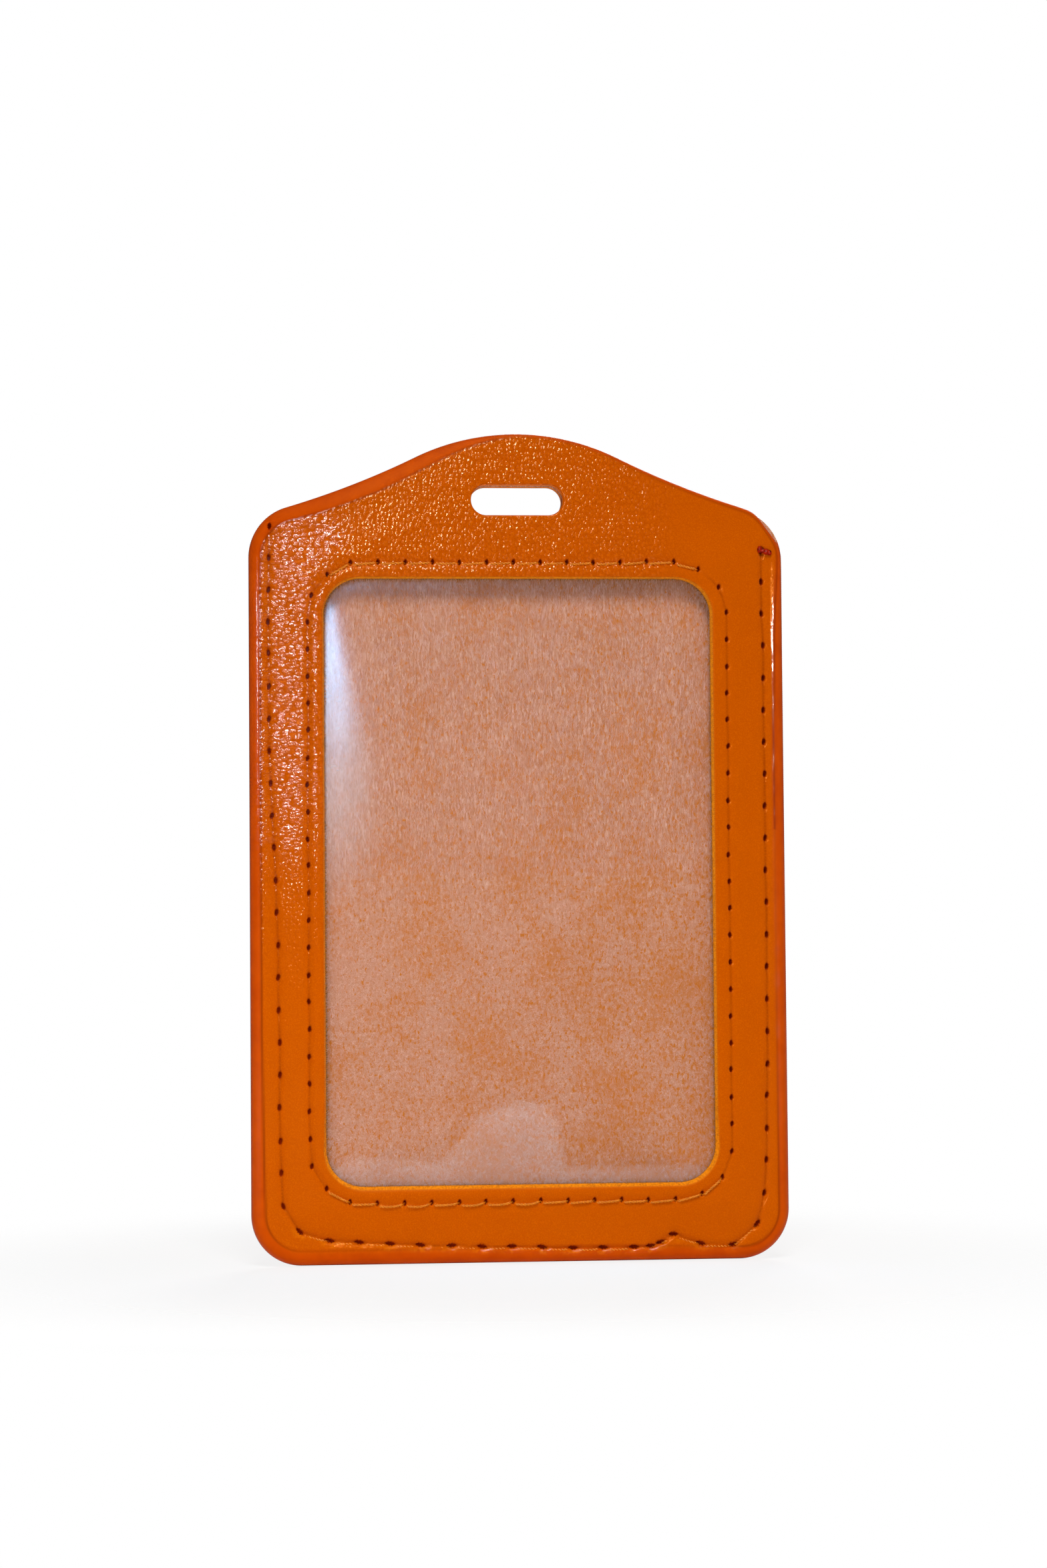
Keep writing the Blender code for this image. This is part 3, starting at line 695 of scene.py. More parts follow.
def leaf_mesh(name, facing, pitch, holes, seams, leather):
    """A closed leaf. Only the front leaf has a window, and only it is trimmed."""
    window = facing < 0
    loops = [resampled(holder_outline(0), OUTLINE_PITCH, True)]
    loops += [resampled(hole.outline(0), HOLE_PITCH, True) for hole in holes]
    flat, triangles, orders = triangulated(loops, leaf_places(pitch, holes, seams))
    spots = Spots(flat)
    relief = Relief(spots, leather, window)
    face_y = facing * (BACK_Y - spots.pinch + relief.height)
    # The underside is plain, and shares only the edges' places
    inner = resampled(holder_outline(UNDERSIDE_INSET), OUTLINE_PITCH, True)
    under_loops = [inner[nearest(loops[0], tree_of(inner))], *loops[1:]]
    grid = even_places((-HALF_WIDTH, BOTTOM_Z), (HALF_WIDTH, TOP_Z), UNDERSIDE_PITCH)
    grid = clear_of_edges(grid, holes, UNDERSIDE_PITCH * 0.5, [UNDERSIDE_PITCH * 0.4] * len(holes))
    under_flat, under_triangles, under_orders = triangulated(under_loops, grid)
    under = Spots(under_flat)
    under_y = facing * (BACK_Y - under.pinch - LEAF * mix(1.0, 0.97, under.sewn))
    points = [np.insert(flat, 1, face_y, axis=1), np.insert(under_flat, 1, under_y, axis=1)]
    blocks = [triangles, under_triangles[:, ::-1] + len(flat)]
    rows = [np.zeros(len(triangles)), np.ones(len(under_triangles))]
    start = len(flat) + len(under_flat)
    # Walls of three bands close the rim, which is the first loop, and the holes
    walls = []
    for number, (upper, lower) in enumerate(zip(orders, under_orders)):
        top, bottom = points[0][upper], points[1][lower]
        bands = [upper]
        for share in (0.35, 0.7):
            middle = mix(top, bottom, share)
            if number == 0:
                middle[:, (0, 2)] = mix(top, bottom, share**2.2)[:, (0, 2)]
            points.append(middle)
            bands.append(np.arange(start, start + len(middle)))
            walls.append(np.full(len(middle), number))
            start += len(middle)
        bands.append(lower + len(flat))
        for first, second in zip(bands, bands[1:]):
            blocks.append(np.stack([first, np.roll(first, -1), np.roll(second, -1), second], 1))
            rows.append(np.zeros(len(first)))
    everything = np.concatenate(points)
    if window:
        everything = trimmed(everything)
    else:
        # The rim stays unpainted where the front leaf is short of it, and its napped side shows
        for block, row in zip(blocks[2:], rows[2:]):
            middle = everything[block].mean(1)[:, (0, 2)]
            row[np.linalg.norm(middle - TRIM_PLACE, axis=1) < TRIM_REACH * 0.8] = 1
    piece = new_mesh(name, everything, blocks, np.concatenate(rows))
    walls = np.concatenate(walls)
    rim, edge = (np.concatenate([np.zeros(len(under_flat)), share]) for share in (walls == 0, walls > 0))
    rim[under_orders[0]] = 1.0
    edge[np.concatenate(under_orders[1:])] = 1.0
    tails = {"paint": rim, "cut": edge, "matt": rim}
    for key, mask in relief.masks.items():
        point_attribute(piece.data, key, np.concatenate([mask, tails.get(key, rim * 0)]))
    face_outwards(piece)
    return piece


def trimmed(points):
    """The leaf's points, drawn in where it is trimmed short."""
    flat = points[:, (0, 2)]
    near = bell(np.linalg.norm(flat - TRIM_PLACE, axis=1), TRIM_REACH)
    pull = TRIM_DEPTH * near * smooth(3.0 * MM, 0.0, OUTLINE.measure(flat)[0])
    points = points.copy()
    points[:, (0, 2)] += pull[:, None] * TRIM_WAY
    return points


def face_height(places, facing):
    """The y of a leaf's sewn face, without its holes and grain."""
    spots = Spots(places)
    return facing * (BACK_Y - spots.pinch + spots.waves())


def pocket_height(places):
    """The y of the film's back, where the window's seam shows inside the pocket."""
    return FILM_HIGH.y + 0.05 * MM + Spots(places).pinch


def tubes(name, lines, radius, sides, reference, shade=None, ends=0.6, flat=1.0, start=0.0):
    """Closed thin tubes along many lines, an array of lines, points and 3. reference is never along a line.

    flat is their depth along the reference over their width, and start turns the first side.
    """
    count, steps, _ = lines.shape
    first = unit(np.cross(unit(np.gradient(lines, axis=1)), reference))
    second = np.cross(unit(np.gradient(lines, axis=1)), first)
    thickness = np.broadcast_to(np.asarray(radius, float), (count, steps)).copy()
    thickness[:, 0] *= ends
    thickness[:, -1] *= ends
    angles = np.linspace(0, 2 * math.pi, sides, endpoint=False)[:, None] + start
    ring = first[:, :, None] * np.cos(angles) + second[:, :, None] * np.sin(angles) * flat
    points = lines[:, :, None] + ring * thickness[:, :, None, None]
    number = np.arange(count * steps * sides).reshape(count, steps, sides)
    here, there = number[:, :-1], number[:, 1:]
    walls = np.stack([here, there, np.roll(there, -1, 2), np.roll(here, -1, 2)], -1).reshape(-1, 4)
    piece = new_mesh(name, points.reshape(-1, 3), [walls, number[:, 0], number[:, -1, ::-1]])
    if shade is not None:
        point_attribute(piece.data, "shade", np.repeat(shade, steps * sides))
    return piece


class Nodes:
    """A node tree, with short ways to add to it."""

    def __init__(self, tree):
        self.tree = tree

    def put(self, socket, value):
        """Sets an input to another node's output, a number, a vector or a colour."""
        if isinstance(value, bpy.types.NodeSocket):
            self.tree.links.new(value, socket)
        else:
            socket.default_value = (*value, 1.0) if socket.type == "RGBA" else value

    def add(self, kind, values=None, out=0, **settings):
        """Adds a node and gives the wanted output of it."""
        node = self.tree.nodes.new("ShaderNode" + kind)
        for name, value in settings.items():
            setattr(node, name, value)
        for socket, value in (values or {}).items():
            self.put(node.inputs[socket], value)
        return node.outputs[out]

    def maths(self, operation, first, second=0.0):
        return self.add("Math", {0: first, 1: second}, operation=operation)

    def times(self, first, second):
        return self.maths("MULTIPLY", first, second)

    def plus(self, first, second):
        return self.maths("ADD", first, second)

    def minus(self, first, second):
        return self.maths("SUBTRACT", first, second)

    def most(self, first, second):
        return self.maths("MAXIMUM", first, second)

    def steps(self, value, low, high, bottom=0.0, top=1.0, kind="LINEAR"):
        """The value's way from low to high, as a way from bottom to top."""
        values = {"Value": value, "From Min": low, "From Max": high, "To Min": bottom, "To Max": top}
        return self.add("MapRange", values, "Result", interpolation_type=kind)

    def blend(self, share, first, second):
        """From the first colour to the second."""
        return self.add("Mix", {0: share, 6: first, 7: second}, 2, data_type="RGBA", clamp_factor=True)

    def mixed(self, share, first, second):
        """From the first shader to the second."""
        return self.add("MixShader", {0: share, 1: first, 2: second})

    def surface(self, shader):
        self.tree.links.new(shader, self.tree.get_output_node("ALL").inputs["Surface"])


class Recipe(Nodes):
    """A material with patterns that follow its piece."""

    def __init__(self, name, **values):
        self.material = bpy.data.materials.new(name)
        self.material.use_nodes = True
        super().__init__(self.material.node_tree)
        self.shader = self.tree.nodes["Principled BSDF"]
        self.set(**values)

    def set(self, **values):
        for name, value in values.items():
            self.put(self.shader.inputs[name.replace("_", " ")], value)

    def mask(self, name):
        return self.add("Attribute", {}, "Fac", attribute_name=name)

    def place(self, stretch=(1, 1, 1), turn=(0, 0, 0)):
        """The place at rest in millimetres, stretched and turned for a pattern."""
        where = self.add("Attribute", {}, "Vector", attribute_name="place")
        return self.add("Mapping", {"Vector": where, "Scale": stretch, "Rotation": turn})

    def noise(self, pitch, detail=3.0, roughness=0.55, stretch=(1, 1, 1), turn=(0, 0, 0), distortion=0.0):
        values = {"Vector": self.place(stretch, turn), "Scale": 1 / pitch, "Detail": detail,
                  "Roughness": roughness, "Distortion": distortion}
        return self.add("TexNoise", values, "Fac")

    def cells(self, pitch, stretch=(1, 1, 1), uneven=0.8):
        """Distance from the middle of the nearest of many flat cells laid over the faces."""
        where = self.place(stretch, (math.pi / 2, 0, 0))
        values = {"Vector": where, "Scale": 1 / pitch, "Randomness": uneven}
        return self.add("TexVoronoi", values, "Distance", voronoi_dimensions="2D")

    def speckled(self, pattern, low, high, first, second, most=1.0):
        """A blend of two colours that follows a pattern."""
        return self.blend(self.steps(pattern, low, high, 0.0, most), first, second)

    def bump(self, height, distance, strength=1.0, before=None):
        values = {"Height": height, "Distance": distance, "Strength": strength}
        if before is not None:
            values["Normal"] = before
        return self.add("Bump", values)


def leather_material(name, leather):
    """Pebbled leather-look skin with its painted band, cut edges, needle holes and creases."""
    recipe = Recipe(name)
    grain, paint, cut, pit, groove, crease, calm, gleam, matt, strip = (
        recipe.mask(word)
        for word in ("grain", "paint", "cut", "pit", "groove", "crease", "calm", "gleam", "matt", "strip")
    )
    fine = recipe.noise(0.16, 2.0, 0.6)

    def by_strip(head, side):
        return recipe.steps(strip, 0.0, 1.0, head, side)

    # Upright domes on the head, and lying pebbles with flat tops down the left strip
    upright = recipe.cells(leather.pebble_pitch / MM, (1.0, 1.0, 0.86))
    lying = recipe.cells(leather.pebble_pitch * 0.9 / MM, (0.58, 1.0, 1.0), 1.0)
    spread = recipe.times(by_strip(upright, lying), by_strip(2.1, 1.58))
    pebble = recipe.steps(recipe.maths("POWER", spread, by_strip(2.0, 2.6)), 0.0, 1.0, 1.0, 0.0)
    uneven = recipe.steps(recipe.noise(0.9, 3.0, 0.7), 0.40, 0.66, 0.32, 1.05)
    height = recipe.plus(recipe.times(pebble, uneven), recipe.times(grain, 0.15))
    top = recipe.times(pebble, calm)
    # Colours: the skin's drift, painted shade in creases and painted highlight on crowns, then the paint, the
    # cut edges, painted shade in seams and holes
    skin = recipe.speckled(recipe.noise(9.0, 2.0), 0.35, 0.75, leather.skin_colour, leather.worn_colour)
    # Painted shade: the hollows between the pebbles are darkened towards the crease colour
    crease_shade = recipe.times(recipe.minus(1.0, height), calm)
    skin = recipe.speckled(crease_shade, 0.4, 1.0, skin, leather.crease_shade_colour, 0.7)
    # Painted highlight: the pebbles' crowns are lightened towards the crown colour, and the next line scatters
    # that colour at random as fine speckles
    skin = recipe.speckled(top, 0.55, 1.0, skin, leather.crown_highlight_colour, 0.35)
    skin = recipe.speckled(fine, 0.46, 0.74, skin, leather.crown_highlight_colour, 0.6)
    band = recipe.speckled(recipe.noise(2.2, 2.0), 0.35, 0.7, leather.band_colour, leather.band_dark_colour)
    skin = recipe.blend(paint, skin, band)
    edge = recipe.speckled(recipe.noise(0.3, 3.0), 0.4, 0.7, leather.cut_colour, leather.cut_dark_colour)
    skin = recipe.blend(cut, skin, edge)
    # Painted shade darkens the seams' grooves and the crease along the painted band
    dark = recipe.most(recipe.times(groove, 0.5), recipe.times(crease, 0.75))
    skin = recipe.blend(dark, skin, leather.shade_colour)
    # Painted shade darkens the insides of the needle holes
    skin = recipe.speckled(pit, 0.12, 0.5, skin, leather.pit_shade_colour)
    # Only the pebbles' crowns and the glossy edge mirror white; the rest mirrors in the skin's own colour
    pebbled = recipe.times(recipe.steps(top, 0.10, 0.40), recipe.steps(calm, 0.50, 0.85))
    white = recipe.most(pebbled, gleam)
    crowns = recipe.blend(strip, (0.64, 0.48, 0.28), (1.0, 0.90, 0.87))
    valleys = recipe.blend(strip, (0.30, 0.11, 0.02), (0.10, 0.03, 0.006))
    sheen = recipe.blend(recipe.minus(white, matt), valleys, crowns)
    rough = recipe.steps(matt, 0.0, 1.0, recipe.steps(top, 0.1, 0.6, 0.16, 0.10), 0.45)
    rough = recipe.most(rough, recipe.times(recipe.most(cut, pit), 0.8))
    flat = recipe.minus(1.0, recipe.most(recipe.times(paint, 0.85), cut))
    relief = recipe.times(recipe.times(height, recipe.times(flat, calm)), by_strip(0.66, 1.4))
    normal = recipe.bump(relief, leather.pebble_depth)
    normal = recipe.bump(fine, leather.pebble_depth * 0.16, 0.5, normal)
    recipe.set(Base_Color=skin, Roughness=rough, Normal=normal, Specular_IOR_Level=0.36, IOR=1.45,
               Specular_Tint=sheen, Coat_Weight=gleam, Coat_Roughness=0.09, Coat_IOR=1.45,
               Coat_Normal=normal)
    return recipe.material


def nap_material(name, window):
    """Brushed lining: pinkish fibres over an orange ground, with bare patches."""
    recipe = Recipe(name)
    x = recipe.add("SeparateXYZ", {"Vector": recipe.place()}, "X")
    z = x.node.outputs["Z"]
    # Brushed upright above, and felted into curls below
    felted = recipe.steps(z, -42.0, -66.0)
    fibre = recipe.steps(felted, 0.0, 1.0, recipe.noise(0.20, 4.0, 0.7, (1.0, 1.0, 0.20), distortion=0.8),
                         recipe.noise(0.17, 4.0, 0.72, (1.0, 1.0, 0.85), distortion=1.6))
    tuft = recipe.noise(0.55, 5.0, 0.7, (1.0, 1.0, 0.40))
    tone = recipe.speckled(fibre, 0.40, 0.62, window.nap_deep_colour, window.nap_light_colour)
    tone = recipe.speckled(tuft, 0.44, 0.64, tone, window.nap_mid_colour, 0.7)
    # The nap is thinner towards the right and the foot, where bare patches and specks crowd together
    thin = recipe.plus(recipe.times(x, 0.0016), recipe.times(z, -0.0011))
    bare = recipe.noise(0.42, 5.0, 0.70, (1.0, 1.0, 0.70))
    field = recipe.plus(recipe.times(recipe.noise(9.0, 3.0), 0.5), thin)
    patch = recipe.steps(recipe.plus(bare, field), 0.755, 0.93)
    tone = recipe.blend(recipe.times(patch, 0.7), tone, window.bare_colour)
    speck = recipe.plus(recipe.noise(0.34, 3.0, 0.6, (1.0, 1.0, 0.45)), recipe.times(thin, 0.6))
    speck = recipe.plus(speck, recipe.steps(bare, 0.30, 0.70, -0.10, 0.10))
    tone = recipe.speckled(speck, 0.63, 0.665, tone, window.bare_colour)
    recipe.set(Base_Color=tone, Roughness=0.95, Normal=recipe.bump(fibre, 0.08 * MM, 0.6),
               Specular_IOR_Level=0.1, Sheen_Weight=0.1)
    return recipe.material


def fibre_material(name, dark, light, **values):
    """Loose fibres, each with its own shade between two colours."""
    recipe = Recipe(name, Roughness=0.9, Specular_IOR_Level=0.1, **values)
    recipe.set(Base_Color=recipe.blend(recipe.mask("shade"), dark, light))
    return recipe.material


def thread_material(name, thread):
    """Twisted thread, with painted shade between its strands."""
    twist_turn = (0, math.radians(35), 0)
    recipe = Recipe(name, Roughness=0.5, Specular_IOR_Level=0.2)
    twist = recipe.noise(0.10, 3.0, 0.6, (1.0, 1.0, 0.4), twist_turn)
    tone = recipe.speckled(twist, 0.35, 0.7, thread.shade_colour, thread.thread_colour)
    recipe.set(Base_Color=tone, Normal=recipe.bump(twist, 0.03 * MM, 0.6))
    return recipe.material


def knot_material(name, thread):
    """Glossy melted thread."""
    recipe = Recipe(name, Roughness=0.32, Specular_IOR_Level=0.06)
    melt = recipe.noise(0.35, 3.0, 0.6)
    tone = recipe.speckled(melt, 0.35, 0.7, thread.knot_colour, thread.knot_light_colour)
    recipe.set(Base_Color=tone, Normal=recipe.bump(melt, 0.06 * MM, 0.7))
    return recipe.material


def film_material(name):
    """Clear film: what lies behind shows through it, and it mirrors the lamps, with faint scuffs. A whitish
    diffuse share paints glare on its foot and down its left side.
    """
    recipe = Recipe(name)
    recipe.tree.nodes.remove(recipe.shader)
    scuff = recipe.noise(0.5, 4.0, 0.7, (1.0, 1.0, 0.12), (0, math.radians(-24), 0))
    # Painted glare: a share of whitish diffuse where the mask is set
    painted_glare = recipe.times(recipe.mask("painted_glare"), recipe.steps(recipe.noise(2.5, 3.0), 0.3, 0.7, 0.08, 0.13))
    clear = recipe.add("BsdfTransparent", {"Color": WHITE})
    glare_white = recipe.add("BsdfDiffuse", {"Color": (1.0, 0.94, 0.96)})
    rough = recipe.steps(scuff, 0.4, 0.8, 0.14, 0.22)
    gloss = recipe.add("BsdfGlossy", {"Color": (0.28, 0.63, 1.0), "Roughness": rough})
    share = recipe.add("Fresnel", {"IOR": 1.16})
    recipe.surface(recipe.mixed(share, recipe.mixed(painted_glare, clear, glare_white), gloss))
    return recipe.material


class IdHolderLeather(bpy.types.PropertyGroup):
    pebble_pitch: FloatProperty(
        name="Pebble pitch", description="Width of one pebble of the fine grain", default=0.52 * MM,
        unit="LENGTH")
    pebble_depth: FloatProperty(
        name="Pebble depth", description="Height of the fine grain's pebbles", default=0.052 * MM,
        unit="LENGTH")
    grain_pitch: FloatProperty(
        name="Grain pitch", description="Width of one swelling of the coarse grain", default=0.95 * MM,
        unit="LENGTH")
    grain_stretch: FloatProperty(
        name="Grain stretch", description="Height of a swelling over its width", default=1.25)
    grain_depth: FloatProperty(
        name="Grain depth", description="Height of the swellings over the creases", default=0.013 * MM,
        unit="LENGTH")
    skin_colour: FloatVectorProperty(
        name="Skin", description="Smooth skin", subtype="COLOR", default=(0.575, 0.090, 0.0))
    # Painted highlight for the tops of the pebbles
    crown_highlight_colour: FloatVectorProperty(
        name="Crowns", description="Tops of the pebbles", subtype="COLOR", default=(0.72, 0.145, 0.001))
    # Painted shade for the creases between the pebbles
    crease_shade_colour: FloatVectorProperty(
        name="Creases", description="Creases between the pebbles", subtype="COLOR",
        default=(0.50, 0.070, 0.0))
    worn_colour: FloatVectorProperty(
        name="Clouds", description="Slow drift of the colour", subtype="COLOR", default=(0.56, 0.086, 0.0))
    band_colour: FloatVectorProperty(
        name="Band", description="Painted edge", subtype="COLOR", default=(0.61, 0.073, 0.0))
    band_dark_colour: FloatVectorProperty(
        name="Dark band", description="Deeper parts of the painted edge", subtype="COLOR",
        default=(0.55, 0.060, 0.0))
    cut_colour: FloatVectorProperty(
        name="Cut edge", description="Cut edge of the window", subtype="COLOR", default=(0.92, 0.262, 0.002))
    cut_dark_colour: FloatVectorProperty(
        name="Dark cut edge", description="Shaded flecks of the cut edge", subtype="COLOR",
        default=(0.60, 0.13, 0.002))
    shade_colour: FloatVectorProperty(
        name="Seam shade", description="Drawn-in seams and creases", subtype="COLOR",
        default=(0.24, 0.022, 0.0008))
    # Painted shade inside the needle holes
    pit_shade_colour: FloatVectorProperty(
        name="Needle holes", description="Inside of the needle holes", subtype="COLOR",
        default=(0.26, 0.016, 0.0008))


class IdHolderWindow(bpy.types.PropertyGroup):
    nap_light_colour: FloatVectorProperty(
        name="Light nap", description="Pale fibres of the lining", subtype="COLOR",
        default=(0.82, 0.475, 0.345))
    fibre_colour: FloatVectorProperty(
        name="Palest fibres", description="Loose fibres that catch the light", subtype="COLOR",
        default=(0.90, 0.60, 0.53))
    nap_mid_colour: FloatVectorProperty(
        name="Middle nap", description="Most of the lining", subtype="COLOR", default=(0.66, 0.290, 0.160))
    nap_deep_colour: FloatVectorProperty(
        name="Deep nap", description="Between the fibres", subtype="COLOR", default=(0.56, 0.200, 0.080))
    bare_colour: FloatVectorProperty(
        name="Bare ground", description="Ground where the nap is thin", subtype="COLOR",
        default=(0.64, 0.185, 0.020))
    # Dark fibres, partly painted shade along the window's top and left edges
    fuzz_shade_colour: FloatVectorProperty(
        name="Fuzz", description="Fibres that stand out of the cut edge", subtype="COLOR",
        default=(0.16, 0.075, 0.012))
    fibre_length: FloatProperty(
        name="Fibre length", description="Length of the nap's loose fibres", default=1.35 * MM, unit="LENGTH")


class IdHolderThread(bpy.types.PropertyGroup):
    thread_colour: FloatVectorProperty(
        name="Thread", description="Lit strands", subtype="COLOR", default=(0.94, 0.32, 0.006))
    shade_colour: FloatVectorProperty(
        name="Thread shade", description="Between the strands", subtype="COLOR", default=(0.58, 0.125, 0.002))
    knot_colour: FloatVectorProperty(
        name="Knot", description="Melted thread end", subtype="COLOR", default=(0.10, 0.004, 0.0004))
    knot_light_colour: FloatVectorProperty(
        name="Light knot", description="Lit part of the melted end", subtype="COLOR",
        default=(0.60, 0.018, 0.0006))


class IdHolderStage(bpy.types.PropertyGroup):
    key_power: FloatProperty(
        name="Key light", description="Power of the large soft lamp", default=3.85, unit="POWER")
    glint_power: FloatProperty(
        name="Glint light", description="Power of the small bright lamp", default=1.2, unit="POWER")
    low_power: FloatProperty(
        name="Low light", description="Power of the strip that stands for a bright table", default=0.037,
        unit="POWER")
    rim_power: FloatProperty(
        name="Rim light", description="Power of the strip on the right", default=0.10, unit="POWER")
    fill_strength: FloatProperty(
        name="Fill", description="Strength of the light from all round", default=0.175)


class IDHOLDER_OT_front_leaf(bpy.types.Operator):
    """Adds the front leaf with its window, slot, grain and painted edge"""

    bl_idname = "idholder.front_leaf"
    bl_label = "Front Leaf"

    def execute(self, context):
        leather = context.scene.id_holder_leather
        piece = leaf_mesh("front_leaf", -1, GRID_PITCH, (CUT, SLOT), (OUTER, WINDOW), leather)
        piece.data.materials.append(leather_material("orange_pebbled_leather", leather))
        piece.data.materials.append(nap_material("front_leaf_nap", context.scene.id_holder_window))
        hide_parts("front_panel", "front_head", "front_panel_fleece", "front_head_fleece",
                    "front_head_edge_paint")
        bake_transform(piece)
        return {"FINISHED"}


class IDHOLDER_OT_back_leaf(bpy.types.Operator):
    """Adds the back leaf with its seam and painted edge"""

    bl_idname = "idholder.back_leaf"
    bl_label = "Back Leaf"

    def execute(self, context):
        leather = context.scene.id_holder_leather
        piece = leaf_mesh("back_leaf", 1, BACK_GRID_PITCH, (SLOT,), (OUTER,), leather)
        piece.data.materials.append(leather_material("orange_back_leather", leather))
        piece.data.materials.append(nap_material("back_leaf_nap", context.scene.id_holder_window))
        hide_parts("back_panel", "edge_paint", "back_panel_fleece")
        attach(piece, "holder")
        return {"FINISHED"}


def make_nap(name, count, low_z, high_z, curl, seed, window):
    """Loose fibres of the lining over a stretch of the window, from upright ones to curly ones."""
    draw = np.random.default_rng(seed)
    x = draw.uniform(-WINDOW_SIDE - 1 * MM, WINDOW_SIDE + 1 * MM, count)
    z = draw.uniform(low_z, high_z, count)
    steps = 4
    length = window.fibre_length * draw.uniform(0.4, 1.15, count) * mix(1.1, 0.6, curl)
    angle = math.pi / 2 + draw.normal(0, 0.20 + 0.75 * curl, count)
    bend = draw.normal(0, 0.25 + 1.5 * curl, count)
    share = np.linspace(-0.5, 0.5, steps)
    turn = angle[:, None] + bend[:, None] * share + draw.normal(0, 0.08, (count, steps))
    step = length[:, None] / (steps - 1)
    path_x = x[:, None] + np.cumsum(np.cos(turn) * step, 1)
    path_z = z[:, None] + np.cumsum(np.sin(turn) * step, 1)
    rise = draw.uniform(0.0, 0.022, count)[:, None] * MM * np.sin(math.pi * (share + 0.5)) + 0.003 * MM
    lines = np.stack([path_x, LINING_Y - rise, path_z], 2)
    inside = (np.abs(path_x) < WINDOW_SIDE + 1.5 * MM).all(1)
    inside &= (np.abs(path_z - WINDOW_CENTRE_Z) < WINDOW_HEIGHT / 2 + 1.5 * MM).all(1)
    lines = lines[inside]
    radius = draw.uniform(0.008, mix(0.024, 0.016, curl), len(lines))[:, None] * MM
    shade = draw.uniform(0.0, 1.0, len(lines)) ** 1.5
    piece = tubes(name, lines, radius, 3, TOWARDS_BACK, shade, 0.3, 0.35, math.pi / 2)
    piece.data.shade_flat()
    return piece


class IDHOLDER_OT_nap(bpy.types.Operator):
    """Adds the loose fibres of the lining that the window shows"""

    bl_idname = "idholder.nap"
    bl_label = "Lining Nap"

    def execute(self, context):
        window = context.scene.id_holder_window
        material = fibre_material("loose_nap", window.nap_mid_colour, window.fibre_colour, Sheen_Weight=0.15)
        low = WINDOW_CENTRE_Z - WINDOW_HEIGHT / 2 - 1 * MM
        high = WINDOW_CENTRE_Z + WINDOW_HEIGHT / 2 + 1 * MM
        middle = mix(low, high, 0.5)
        for name, count, bottom, top, curl, seed in (
            ("lining_nap_upper", 14000, middle, high, 0.2, 41),
            ("lining_nap_lower", 10000, low, middle, 1.0, 42),
        ):
            piece = make_nap(name, count, bottom, top, curl, seed, window)
            piece.data.materials.append(material)
            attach(piece, "holder")
        return {"FINISHED"}


class IDHOLDER_OT_fuzz(bpy.types.Operator):
    """Adds the short fibres that stand out of the window's cut edge"""

    bl_idname = "idholder.fuzz"
    bl_label = "Cut Edge Fuzz"

    def execute(self, context):
        draw = np.random.default_rng(51)
        edge = resampled(window_outline(0), 0.075 * MM, True)
        edge = edge + draw.normal(0, 0.02 * MM, edge.shape)
        count = len(edge)
        way = unit(np.roll(edge, -1, 0) - np.roll(edge, 1, 0))
        inward = np.stack([way[:, 1], -way[:, 0]], 1)
        # The fuzz is longer on the top and left edges: its dark fibres are real, and there they also paint the
        # shade that falls along those edges
        shaded_side = smooth(-0.3, 0.5, inward[:, 0] * 0.6 - inward[:, 1])
        length = draw.uniform(0.10, 0.36, count) * mix(0.35, 1.0, shaded_side) * MM
        slant = draw.normal(0, 0.7, count)[:, None]
        share = np.linspace(-0.25, 1, 4)
        path = edge[:, None] + (inward + way * slant)[:, None] * (length[:, None] * share)[:, :, None]
        depth = FRONT_Y + LEAF - draw.uniform(0.05, 0.55, count)[:, None] * MM + share * 0.08 * MM
        lines = np.stack([path[:, :, 0], depth, path[:, :, 1]], 2)
        radius = draw.uniform(0.018, 0.034, count)[:, None] * MM
        piece = tubes("window_cut_fuzz", lines, radius, 3, TOWARDS_BACK, draw.uniform(0, 1, count), 0.4)
        window = context.scene.id_holder_window
        piece.data.materials.append(fibre_material("cut_edge_fuzz", window.fuzz_shade_colour, window.bare_colour))
        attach(piece, "holder")
        return {"FINISHED"}


